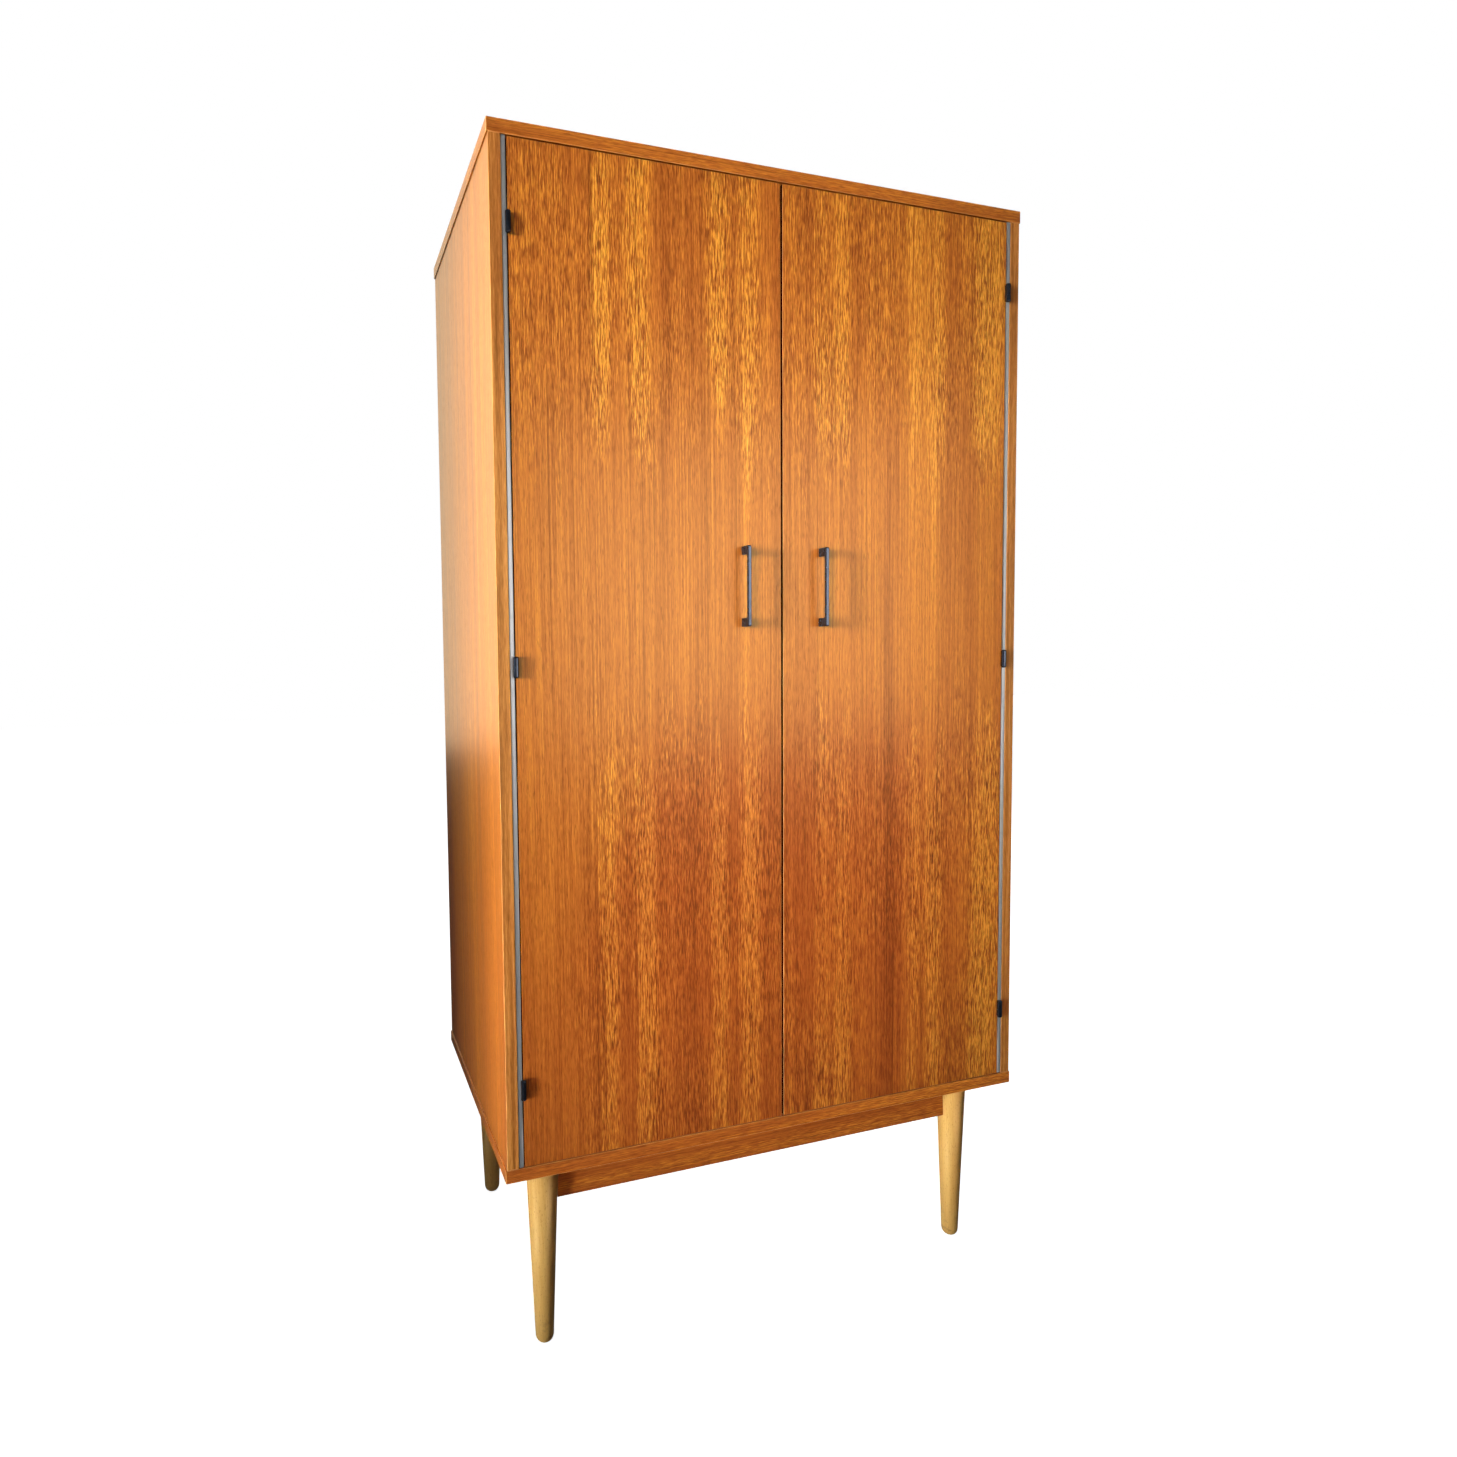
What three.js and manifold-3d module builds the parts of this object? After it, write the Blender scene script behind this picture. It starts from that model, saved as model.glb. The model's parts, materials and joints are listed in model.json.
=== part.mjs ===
// A two-door wardrobe on four turned legs: a veneered carcass on a mortised leg frame, two inset
// doors on butt hinges with bridge handles, and a hat shelf over a hanging rail inside.
//
// Millimetres. X runs to the right, Y from the front to the back, Z up. The origin is on the floor,
// under the middle of the whole wardrobe with its handles. "left" is the side at negative X.

import * as THREE from 'three';
import { mergeVertices } from 'three/addons/utils/BufferGeometryUtils.js';
import Module from 'manifold-3d';

const wasm = await Module();
wasm.setup();

// ---------------------------------------------------------------- driving dimensions

const carcassWidth = 914;
const carcassDepth = 530;
const carcassHeight = 1515;
const legLength = 305;

const deckThickness = 20; // top and bottom panels
const deckOverhang = 2; // how far the top and bottom reach past the sides
const sideThickness = 18;
const backThickness = 5;
const backRebateWidth = 8;
const fitGap = 0.3; // play where one piece is let into another

const stripWidth = 6; // bright face of the metal strip beside each door
const stripGroove = 1; // shadow line between the side panel and the strip
const stripGrooveDepth = 2;
const stripDepth = 24;
const stripEndGap = 1.5;

const doorThickness = 19;
const doorHingeGap = 1.5;
const doorMiddleGap = 3.5; // between the two doors
const doorTopGap = 2.5;
const doorBottomGap = 1.5;

const hingeSpacing = 618; // between neighbouring hinges on one door
const barrelSides = 20;
const barrelRadius = 4.1;
const barrelProud = 4.6; // from the front plane out to the hinge axis
const knuckleLength = 8.7;
const knuckleGap = 0.25;
const pinRadius = 1.92;
const pinBoreRadius = 2;
const pinHeadHeight = 2.2;
const pinHeadGap = 0.1;
const leafThickness = 1.2;
const frameLeafDepth = 17;
const doorLeafDepth = 15;
const mortiseGap = 0.2;
const leafScrewRadius = 1.6;
const leafScrewHeadRadius = 2.9;
const leafScrewSpacing = 13;

const handleLength = 124;
const handleWidth = 5.5;
const handleProjection = 24;
const handleBarThickness = 5.5;
const handleFootHeight = 13.5;
const handleInnerFillet = 4;
const handleCornerRadius = 2.2;
const handleEdgeRadius = 1;
const handleFromMiddle = 68;
const handleBelowTop = 639; // from the top of the wardrobe to the handle's middle

const handleScrewRadius = 2;
const handleScrewHeadRadius = 4;
const handleScrewHeadHeight = 2.2;
const handleScrewBite = 8; // how far the screw reaches into the foot
const handleScrewSlot = 1; // width and depth of the driver slot

const catchLength = 46;
const catchDepth = 14;
const catchHeight = 12;
const catchFromMiddle = 42; // to the middle of the catch
const strikeLength = 30;
const strikeHeight = 11;
const strikeThickness = 1.2;

const shelfThickness = 18;
const shelfSetback = 40; // from the front plane
const shelfUndersideHeight = 1560;
const shelfEndGap = 0.5;
const battenSize = 20;
const battenEndGap = 20;
const hangingRailRadius = 11;
const hangingRailHeight = 1505;
const socketFlangeRadius = 24;
const socketFlangeThickness = 3;
const socketCupRadius = 14.5;
const socketCupDepth = 16;

const legFromSide = 71; // leg axis, from the end of the bottom panel
const legFromFront = 69;
const legFromBack = 34;
const legTopRadius = 26;
const legFootRadius = 14.6;
const footRoundHeight = 12;
const footFlatRadius = 6;
const apronHeight = 74;
const apronThickness = 16;
const tenonThickness = 8;
const tenonShoulder = 12; // set in above and below the tenon
const tenonTipFromAxis = 11; // keeps the two tenons in a leg apart

// ---------------------------------------------------------------- places worked out from them

const halfWidth = carcassWidth / 2;
const frontY = -(carcassDepth + handleProjection) / 2 + handleProjection;
const backY = frontY + carcassDepth;
const floorHeight = legLength + deckThickness; // inside floor
const overallHeight = legLength + carcassHeight;
const ceilingHeight = overallHeight - deckThickness;
const sideOuter = halfWidth - deckOverhang;
const sideInner = sideOuter - sideThickness;
const stripInner = sideInner - stripGroove - stripWidth;
const doorOuterEdge = stripInner - doorHingeGap;
const doorInnerEdge = doorMiddleGap / 2;
const doorBottom = floorHeight + doorBottomGap;
const doorTop = ceilingHeight - doorTopGap;
const hingeX = stripInner - doorHingeGap / 2;
const hingeY = frontY - barrelProud;
const middleHingeHeight = (floorHeight + ceilingHeight) / 2;
const stackLength = 3 * knuckleLength + 2 * knuckleGap;
const legX = halfWidth - legFromSide;
const frontLegY = frontY + legFromFront;
const rearLegY = backY - legFromBack;
const interiorMiddleY = (frontY + doorThickness + backY - backThickness) / 2;
const handleHeight = overallHeight - handleBelowTop;
const handleFootOffset = (handleLength - handleFootHeight) / 2;

const sides = [
  { name: 'left', sign: -1 },
  { name: 'right', sign: 1 },
];
const hingeLevels = [
  { name: 'upper', height: middleHingeHeight + hingeSpacing },
  { name: 'middle', height: middleHingeHeight },
  { name: 'lower', height: middleHingeHeight - hingeSpacing },
];

// ---------------------------------------------------------------- finishes

const finishes = {
  teak: { color: 0xb86e30, roughness: 0.42, metalness: 0 },
  beech: { color: 0xe3b064, roughness: 0.4, metalness: 0 },
  plywood: { color: 0xc08a52, roughness: 0.7, metalness: 0 },
  aluminium: { color: 0xc9c9ce, roughness: 0.35, metalness: 1 },
  darkSteel: { color: 0x2e2f36, roughness: 0.28, metalness: 1 },
  greySteel: { color: 0x66717a, roughness: 0.3, metalness: 1 },
  zincSteel: { color: 0xa9adb2, roughness: 0.35, metalness: 1 },
  catchPlastic: { color: 0xe4dfd2, roughness: 0.5, metalness: 0 },
};

// ---------------------------------------------------------------- shape helpers

// A box from its lowest to its highest corner; the order of the two X values doesn't matter.
function block(xRange, yRange, zRange) {
  const low = [xRange, yRange, zRange].map((range) => Math.min(...range));
  const high = [xRange, yRange, zRange].map((range) => Math.max(...range));
  const geometry = new THREE.BoxGeometry(high[0] - low[0], high[1] - low[1], high[2] - low[2]);
  return geometry.translate(
    (low[0] + high[0]) / 2,
    (low[1] + high[1]) / 2,
    (low[2] + high[2]) / 2,
  );
}

// A turned shape about Z; the profile is a list of [radius, height] that starts and ends on the axis
// or closes on itself, and runs upwards along the outside.
function turned(profile, segments) {
  const points = profile.map(([radius, height]) => new THREE.Vector2(radius, height));
  return new THREE.LatheGeometry(points, segments).rotateX(Math.PI / 2);
}

function rod(radius, low, high, segments) {
  return turned([[0, low], [radius, low], [radius, high], [0, high]], segments);
}

function toSolid(geometry) {
  const bare = geometry.clone();
  bare.deleteAttribute('normal');
  bare.deleteAttribute('uv');
  const merged = mergeVertices(bare, 1e-4);
  return new wasm.Manifold(new wasm.Mesh({
    numProp: 3,
    vertProperties: new Float32Array(merged.attributes.position.array),
    triVerts: new Uint32Array(merged.index.array),
  }));
}

function toGeometry(solid) {
  const mesh = solid.getMesh();
  const geometry = new THREE.BufferGeometry();
  geometry.setAttribute('position', new THREE.BufferAttribute(mesh.vertProperties, 3));
  geometry.setIndex(new THREE.BufferAttribute(mesh.triVerts, 1));
  geometry.computeVertexNormals();
  return geometry;
}

function cut(geometry, ...tools) {
  return toGeometry(tools.reduce((solid, tool) => solid.subtract(toSolid(tool)), toSolid(geometry)));
}

function join(first, ...others) {
  return toGeometry(others.reduce((solid, other) => solid.add(toSolid(other)), toSolid(first)));
}

function addPiece(group, name, geometry, finish, position = [0, 0, 0]) {
  const mesh = new THREE.Mesh(geometry, new THREE.MeshStandardMaterial(finishes[finish]));
  mesh.name = name;
  mesh.position.set(...position);
  group.add(mesh);
}

// ---------------------------------------------------------------- carcass

// The groove along the back edges that the back panel sits in.
const rebateFrontY = backY - backThickness - fitGap;
const backHalfWidth = sideInner + backRebateWidth;

function deckPanel(low, rebateHeights) {
  const panel = block([-halfWidth, halfWidth], [frontY, backY], [low, low + deckThickness]);
  const rebate = block([-backHalfWidth, backHalfWidth], [rebateFrontY, backY + 1], rebateHeights);
  return cut(panel, rebate);
}

function sidePanel(sign) {
  const heights = [floorHeight, ceilingHeight];
  const panel = block([sign * sideInner, sign * sideOuter], [frontY, backY], heights);
  const rebate = block(
    [sign * (sideInner - 1), sign * backHalfWidth],
    [rebateFrontY, backY + 1],
    [floorHeight - 1, ceilingHeight + 1],
  );
  return cut(panel, rebate);
}

function backPanel() {
  const halfPanel = backHalfWidth - fitGap;
  const reach = backRebateWidth - fitGap;
  return block(
    [-halfPanel, halfPanel],
    [backY - backThickness, backY],
    [floorHeight - reach, ceilingHeight + reach],
  );
}

// A flat metal strip down the side's inner face, with a step at the front for the shadow line and a
// shallow mortise for each hinge leaf.
function trimStrip(sign) {
  const low = floorHeight + stripEndGap;
  const high = ceilingHeight - stripEndGap;
  const bar = block([sign * stripInner, sign * sideInner], [frontY, frontY + stripDepth], [low, high]);
  const groove = block(
    [sign * (sideInner - stripGroove), sign * (sideInner + 1)],
    [frontY - 1, frontY + stripGrooveDepth],
    [low - 1, high + 1],
  );
  const mortises = hingeLevels.map((level) => block(
    [sign * (stripInner - 1), sign * (stripInner + leafThickness + mortiseGap)],
    [frontY - 1, frontY + frameLeafDepth + mortiseGap],
    [level.height - stackLength / 2 - mortiseGap, level.height + stackLength / 2 + mortiseGap],
  ));
  return cut(bar, groove, ...mortises);
}

function addCarcass(group) {
  const topRebate = [ceilingHeight - 1, ceilingHeight + backRebateWidth];
  const bottomRebate = [floorHeight - backRebateWidth, floorHeight + 1];
  addPiece(group, 'top_panel', deckPanel(ceilingHeight, topRebate), 'teak');
  addPiece(group, 'bottom_panel', deckPanel(legLength, bottomRebate), 'teak');
  addPiece(group, 'back_panel', backPanel(), 'plywood');
  for (const side of sides) {
    addPiece(group, `${side.name}_side_panel`, sidePanel(side.sign), 'teak');
    addPiece(group, `${side.name}_trim_strip`, trimStrip(side.sign), 'aluminium');
    addPiece(group, `${side.name}_catch`, doorCatch(side.sign), 'catchPlastic');
  }
}

// ---------------------------------------------------------------- inside the wardrobe

// A magnetic catch: a block under the top, with a tongue at its face for the two steel poles.
function doorCatch(sign) {
  const front = frontY + doorThickness + strikeThickness + fitGap;
  const middle = sign * catchFromMiddle;
  const mount = block(
    [middle - catchLength / 2, middle + catchLength / 2],
    [front + catchDepth / 3, front + catchDepth],
    [ceilingHeight - catchHeight / 4, ceilingHeight],
  );
  const body = block(
    [middle - catchLength / 3, middle + catchLength / 3],
    [front, front + catchDepth],
    [ceilingHeight - catchHeight, ceilingHeight],
  );
  return join(body, mount);
}

function railSocket(sign) {
  const bore = hangingRailRadius + fitGap;
  const profile = [
    [0, 0],
    [socketFlangeRadius, 0],
    [socketFlangeRadius, socketFlangeThickness],
    [socketCupRadius, socketFlangeThickness],
    [socketCupRadius, socketCupDepth],
    [bore, socketCupDepth],
    [bore, socketFlangeThickness],
    [0, socketFlangeThickness],
  ];
  return turned(profile, 24).rotateY(-sign * Math.PI / 2);
}

function addInterior(group) {
  const shelfFront = frontY + shelfSetback;
  const shelfBack = rebateFrontY;
  const shelf = block(
    [shelfEndGap - sideInner, sideInner - shelfEndGap],
    [shelfFront, shelfBack],
    [shelfUndersideHeight, shelfUndersideHeight + shelfThickness],
  );
  addPiece(group, 'hat_shelf', shelf, 'teak');

  const railEnd = sideInner - socketFlangeThickness - fitGap;
  const rail = rod(hangingRailRadius, -railEnd, railEnd, 24).rotateY(Math.PI / 2);
  addPiece(group, 'hanging_rail', rail, 'zincSteel', [0, interiorMiddleY, hangingRailHeight]);

  for (const side of sides) {
    const batten = block(
      [side.sign * (sideInner - battenSize), side.sign * sideInner],
      [shelfFront + battenEndGap, shelfBack - battenEndGap],
      [shelfUndersideHeight - battenSize, shelfUndersideHeight],
    );
    addPiece(group, `${side.name}_shelf_batten`, batten, 'beech');
    addPiece(
      group,
      `${side.name}_rail_socket`,
      railSocket(side.sign),
      'zincSteel',
      [side.sign * sideInner, interiorMiddleY, hangingRailHeight],
    );
  }
}

// ---------------------------------------------------------------- hinges

// Hinge shapes are drawn about the pin: `inward` is +1 where the door lies towards +X and -1 where it
// lies towards -X. Both leaves lie in the gap beside the door and reach back from the pin.

const leafOffset = doorHingeGap / 2; // from the pin's axis to a leaf's near face

function knuckle(low, high) {
  return rod(barrelRadius, low, high, barrelSides);
}

function leafPlate(direction, yRange, zRange) {
  return block([direction * leafOffset, direction * (leafOffset + leafThickness)], yRange, zRange);
}

// Two countersunk screw holes through a leaf, seen from the gap.
function leafScrewHoles(direction, depth) {
  const y = barrelProud + depth / 2 + 1;
  const far = leafOffset + leafThickness + 1;
  return [-1, 1].map((level) => {
    const profile = [
      [0, leafOffset - 1],
      [leafScrewHeadRadius + 1, leafOffset - 1],
      [leafScrewHeadRadius, leafOffset],
      [leafScrewRadius, leafOffset + leafThickness * 0.8],
      [leafScrewRadius, far],
      [0, far],
    ];
    const tool = turned(profile, 12).rotateY(direction * Math.PI / 2);
    return tool.translate(0, y, level * leafScrewSpacing / 2);
  });
}

// The frame's leaf carries the outer two knuckles and is cut back behind the door's knuckle.
function frameLeaf(inward) {
  const direction = -inward;
  const end = stackLength / 2;
  const inner = knuckleLength / 2 + knuckleGap;
  const back = barrelProud + frameLeafDepth;
  const clearOfBarrel = barrelRadius + fitGap;
  const leaf = join(
    leafPlate(direction, [clearOfBarrel, back], [-end, end]),
    leafPlate(direction, [0, back], [inner, end]),
    leafPlate(direction, [0, back], [-end, -inner]),
    knuckle(inner, end),
    knuckle(-end, -inner),
  );
  const bore = rod(pinBoreRadius, -end - 1, end + 1, barrelSides);
  return cut(leaf, bore, ...leafScrewHoles(direction, frameLeafDepth));
}

// The door's leaf carries the middle knuckle and is cut back behind the frame's knuckles.
function doorLeaf(inward) {
  const end = stackLength / 2;
  const half = knuckleLength / 2;
  const back = barrelProud + doorLeafDepth;
  const clearOfBarrel = barrelRadius + fitGap;
  const leaf = join(
    leafPlate(inward, [clearOfBarrel, back], [-end, end]),
    leafPlate(inward, [0, back], [-half, half]),
    knuckle(-half, half),
  );
  const bore = rod(pinBoreRadius, -half - 1, half + 1, barrelSides);
  return cut(leaf, bore, ...leafScrewHoles(inward, doorLeafDepth));
}

// A plain pin with a domed head closed over each end of the barrel.
function hingePin() {
  const shoulder = stackLength / 2 + pinHeadGap;
  const steps = 3;
  const upperDome = [];
  for (let step = 0; step <= steps; step += 1) {
    const angle = (step / steps) * Math.PI / 2;
    const radius = step === steps ? 0 : barrelRadius * Math.cos(angle);
    upperDome.push([radius, shoulder + pinHeadHeight * Math.sin(angle)]);
  }
  const lowerDome = upperDome.map(([radius, height]) => [radius, -height]).reverse();
  const shaft = [[pinRadius, -shoulder], [pinRadius, shoulder]];
  return turned([...lowerDome, ...shaft, ...upperDome], barrelSides);
}

function addFrameHinges(group) {
  for (const side of sides) {
    for (const level of hingeLevels) {
      const place = [side.sign * hingeX, hingeY, level.height];
      const prefix = `${side.name}_${level.name}`;
      addPiece(group, `${prefix}_frame_leaf`, frameLeaf(-side.sign), 'darkSteel', place);
      addPiece(group, `${prefix}_hinge_pin`, hingePin(), 'darkSteel', place);
    }
  }
}

// ---------------------------------------------------------------- doors

// Door pieces are drawn in a group whose origin is on the hinge axis at floor level.

function doorPanel(inward) {
  const xRange = [inward * (hingeX - doorOuterEdge), inward * (hingeX - doorInnerEdge)];
  const panel = block(xRange, [barrelProud, barrelProud + doorThickness], [doorBottom, doorTop]);
  const mortises = hingeLevels.map((level) => block(
    [0, inward * (leafOffset + leafThickness + mortiseGap)],
    [barrelProud - 1, barrelProud + doorLeafDepth + mortiseGap],
    [level.height - stackLength / 2 - mortiseGap, level.height + stackLength / 2 + mortiseGap],
  ));
  const holes = [-1, 1].map((level) => {
    const hole = rod(handleScrewRadius + fitGap, -1, doorThickness + 1, 12).rotateX(-Math.PI / 2);
    return hole.translate(
      inward * (hingeX - handleFromMiddle),
      barrelProud,
      handleHeight + level * handleFootOffset,
    );
  });
  return cut(panel, ...mortises, ...holes);
}

// A bridge handle: drawn in its side view, with the door face at zero and the bar out at the front,
// then given its width. The inner corners are filleted and the outer ones rounded.
function handle() {
  const edge = handleEdgeRadius;
  const half = handleLength / 2;
  const inside = half - handleFootHeight;
  const front = handleProjection;
  const under = handleProjection - handleBarThickness;
  const corner = handleCornerRadius;
  const fillet = handleInnerFillet;
  const right = Math.PI / 2;

  const outline = new THREE.Shape();
  outline.moveTo(-half, 0);
  outline.lineTo(-inside, 0);
  outline.lineTo(-inside, under - fillet);
  outline.absarc(-inside + fillet, under - fillet, fillet, 2 * right, right, true);
  outline.lineTo(inside - fillet, under);
  outline.absarc(inside - fillet, under - fillet, fillet, right, 0, true);
  outline.lineTo(inside, 0);
  outline.lineTo(half, 0);
  outline.lineTo(half, front - corner);
  outline.absarc(half - corner, front - corner, corner, 0, right, false);
  outline.lineTo(corner - half, front);
  outline.absarc(corner - half, front - corner, corner, right, 2 * right, false);
  outline.closePath();

  const body = new THREE.ExtrudeGeometry(outline, {
    depth: handleWidth - 2 * edge,
    bevelEnabled: true,
    bevelThickness: edge,
    bevelSize: edge,
    bevelOffset: -edge,
    bevelSegments: 2,
    curveSegments: 3,
  });
  body.translate(0, 0, edge - handleWidth / 2);
  body.rotateY(-right);
  body.rotateZ(2 * right);
  const holes = [-1, 1].map((level) => {
    const hole = rod(handleScrewRadius + mortiseGap, -1, handleScrewBite + 1, 12).rotateX(right);
    return hole.translate(0, 0, level * handleFootOffset);
  });
  return cut(body, ...holes);
}

// A slotted machine screw along Y: the head lies on the door's inner face, the tip in the handle's foot.
function handleScrew() {
  const tip = -handleScrewBite;
  const headLow = doorThickness;
  const headHigh = doorThickness + handleScrewHeadHeight;
  const screw = turned([
    [0, tip],
    [handleScrewRadius, tip],
    [handleScrewRadius, headLow],
    [handleScrewHeadRadius, headLow],
    [handleScrewHeadRadius * 0.95, headLow + handleScrewHeadHeight * 0.6],
    [handleScrewHeadRadius * 0.7, headHigh],
    [0, headHigh],
  ], 16).rotateX(-Math.PI / 2);
  const slot = block(
    [-handleScrewHeadRadius, handleScrewHeadRadius],
    [headHigh - handleScrewSlot, headHigh + 1],
    [-handleScrewSlot / 2, handleScrewSlot / 2],
  );
  return cut(screw, slot);
}

function strikePlate() {
  return block(
    [-strikeLength / 2, strikeLength / 2],
    [0, strikeThickness],
    [-strikeHeight, 0],
  );
}

function addDoor(group, side) {
  const inward = -side.sign;
  const prefix = side.name;
  const door = new THREE.Group();
  door.position.set(side.sign * hingeX, hingeY, 0);
  group.add(door);

  const handleX = inward * (hingeX - handleFromMiddle);
  addPiece(door, `${prefix}_door_panel`, doorPanel(inward), 'teak');
  addPiece(door, `${prefix}_handle`, handle(), 'greySteel', [handleX, barrelProud, handleHeight]);
  for (const [name, level] of [['upper', 1], ['lower', -1]]) {
    const place = [handleX, barrelProud, handleHeight + level * handleFootOffset];
    addPiece(door, `${prefix}_handle_${name}_screw`, handleScrew(), 'zincSteel', place);
  }
  const strikePlace = [inward * (hingeX - catchFromMiddle), barrelProud + doorThickness, doorTop];
  addPiece(door, `${prefix}_strike_plate`, strikePlate(), 'zincSteel', strikePlace);
  for (const level of hingeLevels) {
    const name = `${prefix}_${level.name}_door_leaf`;
    addPiece(door, name, doorLeaf(inward), 'darkSteel', [0, 0, level.height]);
  }
}

// ---------------------------------------------------------------- leg frame

// The leg as it is turned: a straight taper down to a rounded foot with a small flat.
function turnedLeg(extraRadius) {
  const steps = 5;
  const foot = [[0, 0]];
  for (let step = 0; step <= steps; step += 1) {
    const angle = (step / steps) * Math.PI / 2;
    const round = (legFootRadius - footFlatRadius) * Math.sin(angle);
    const height = footRoundHeight * (1 - Math.cos(angle));
    foot.push([footFlatRadius + round + extraRadius, height]);
  }
  const top = legTopRadius + extraRadius;
  return turned([...foot, [top, legLength], [0, legLength]], 32);
}

// Tenon or mortise as a box in the leg's own place: it points along +X or -X, or along +Y or -Y.
function tenonBlock(alongX, direction, play) {
  const length = [direction * (tenonTipFromAxis - play), direction * (legTopRadius + 15)];
  const across = [-tenonThickness / 2 - play, tenonThickness / 2 + play];
  const heights = [
    legLength - apronHeight + tenonShoulder - play,
    legLength - tenonShoulder + play,
  ];
  return alongX ? block(length, across, heights) : block(across, length, heights);
}

function leg(towardsX, towardsY) {
  return cut(
    turnedLeg(0),
    tenonBlock(true, towardsX, fitGap),
    tenonBlock(false, towardsY, fitGap),
  );
}

// A rail between two legs, scribed to their round sides and tenoned into them. It runs along X or Y
// and is drawn about its middle.
function apronRail(alongX, distance) {
  const half = distance / 2;
  const heights = [legLength - apronHeight, legLength];
  const across = [-apronThickness / 2, apronThickness / 2];
  const along = [-half, half];
  const board = alongX ? block(along, across, heights) : block(across, along, heights);
  const place = (geometry, end) => (
    alongX ? geometry.translate(end * half, 0, 0) : geometry.translate(0, end * half, 0)
  );
  const shaped = cut(board, place(turnedLeg(fitGap), -1), place(turnedLeg(fitGap), 1));
  return join(
    shaped,
    place(tenonBlock(alongX, 1, 0), -1),
    place(tenonBlock(alongX, -1, 0), 1),
  );
}

function addLegFrame(group) {
  const depthBetween = rearLegY - frontLegY;
  const middleY = (frontLegY + rearLegY) / 2;
  addPiece(group, 'front_apron_rail', apronRail(true, 2 * legX), 'teak', [0, frontLegY, 0]);
  addPiece(group, 'rear_apron_rail', apronRail(true, 2 * legX), 'teak', [0, rearLegY, 0]);
  for (const side of sides) {
    const x = side.sign * legX;
    const name = side.name;
    addPiece(group, `${name}_apron_rail`, apronRail(false, depthBetween), 'teak', [x, middleY, 0]);
    addPiece(group, `front_${name}_leg`, leg(-side.sign, 1), 'beech', [x, frontLegY, 0]);
    addPiece(group, `rear_${name}_leg`, leg(-side.sign, -1), 'beech', [x, rearLegY, 0]);
  }
}

// ---------------------------------------------------------------- the wardrobe

const wardrobe = new THREE.Group();
addCarcass(wardrobe);
addInterior(wardrobe);
addFrameHinges(wardrobe);
addLegFrame(wardrobe);
for (const side of sides) {
  addDoor(wardrobe, side);
}

export default wardrobe;
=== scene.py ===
"""The looks of the two-door wardrobe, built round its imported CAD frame.

Lengths are in metres, in the CAD's own frame.
"""

import itertools
import json
import math
import random

import bmesh
import bpy
from mathutils import Matrix, Vector

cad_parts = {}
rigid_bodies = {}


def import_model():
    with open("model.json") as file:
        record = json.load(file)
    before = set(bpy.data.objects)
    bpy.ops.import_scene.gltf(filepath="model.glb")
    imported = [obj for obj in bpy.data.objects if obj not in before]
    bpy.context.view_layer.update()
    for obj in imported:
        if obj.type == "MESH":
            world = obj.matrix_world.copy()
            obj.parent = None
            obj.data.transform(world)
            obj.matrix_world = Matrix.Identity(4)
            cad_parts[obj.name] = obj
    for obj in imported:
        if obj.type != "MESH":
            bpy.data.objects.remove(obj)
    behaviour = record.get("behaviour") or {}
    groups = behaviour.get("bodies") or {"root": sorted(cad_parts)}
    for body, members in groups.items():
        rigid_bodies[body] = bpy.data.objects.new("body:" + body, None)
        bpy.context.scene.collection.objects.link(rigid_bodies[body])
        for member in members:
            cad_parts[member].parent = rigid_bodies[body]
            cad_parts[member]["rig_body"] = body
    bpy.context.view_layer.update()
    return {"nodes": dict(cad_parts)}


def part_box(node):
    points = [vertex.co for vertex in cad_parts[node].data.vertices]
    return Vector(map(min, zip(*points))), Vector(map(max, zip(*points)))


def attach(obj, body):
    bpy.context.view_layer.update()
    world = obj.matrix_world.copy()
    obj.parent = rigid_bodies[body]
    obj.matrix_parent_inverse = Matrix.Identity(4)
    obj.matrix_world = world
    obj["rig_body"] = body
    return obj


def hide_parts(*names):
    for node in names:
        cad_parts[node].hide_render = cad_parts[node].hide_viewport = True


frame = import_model()
NODES = frame["nodes"]

MM = 0.001
WHITE = (1.0, 1.0, 1.0, 1.0)

# ---------------------------------------------------------------- camera

CAMERA_PLACE = (-0.7145, -1.5358, 1.0878)
CAMERA_TURN = -18.99     # degrees to the right of straight ahead
CAMERA_TILT = 86.76      # 90 is level
CAMERA_ROLL = -0.67
CAMERA_LENS = 22.58      # mm, on a 36 mm sensor
CAMERA_SHIFT = (0.075, -0.0194)


def add_camera():
    data = bpy.data.cameras.new("camera")
    data.lens = CAMERA_LENS
    data.sensor_width = 36.0
    data.shift_x, data.shift_y = CAMERA_SHIFT
    data.clip_start = 0.01
    camera = bpy.data.objects.new("camera", data)
    turn = Matrix.Rotation(math.radians(CAMERA_TURN), 4, "Z")
    tilt = Matrix.Rotation(math.radians(CAMERA_TILT), 4, "X")
    roll = Matrix.Rotation(math.radians(CAMERA_ROLL), 4, "Z")
    camera.matrix_world = Matrix.Translation(CAMERA_PLACE) @ turn @ tilt @ roll
    bpy.context.scene.collection.objects.link(camera)
    bpy.context.scene.camera = camera


# ---------------------------------------------------------------- lights and floor

WINDOW_SPREAD = 24       # degrees


def add_area_light(name, place, target, size, power, color, spread=180):
    """An area light the camera can't see. spread is the angle its light fans out over, in degrees."""
    data = bpy.data.lights.new(name, "AREA")
    data.shape = "RECTANGLE"
    data.size, data.size_y = size
    data.energy = power
    data.color = color
    data.spread = math.radians(spread)
    light = bpy.data.objects.new(name, data)
    direction = Vector(target) - Vector(place)
    turn = direction.to_track_quat("-Z", "Y").to_matrix().to_4x4()
    light.matrix_world = Matrix.Translation(place) @ turn
    light.visible_camera = False
    bpy.context.scene.collection.objects.link(light)
    return light


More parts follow.
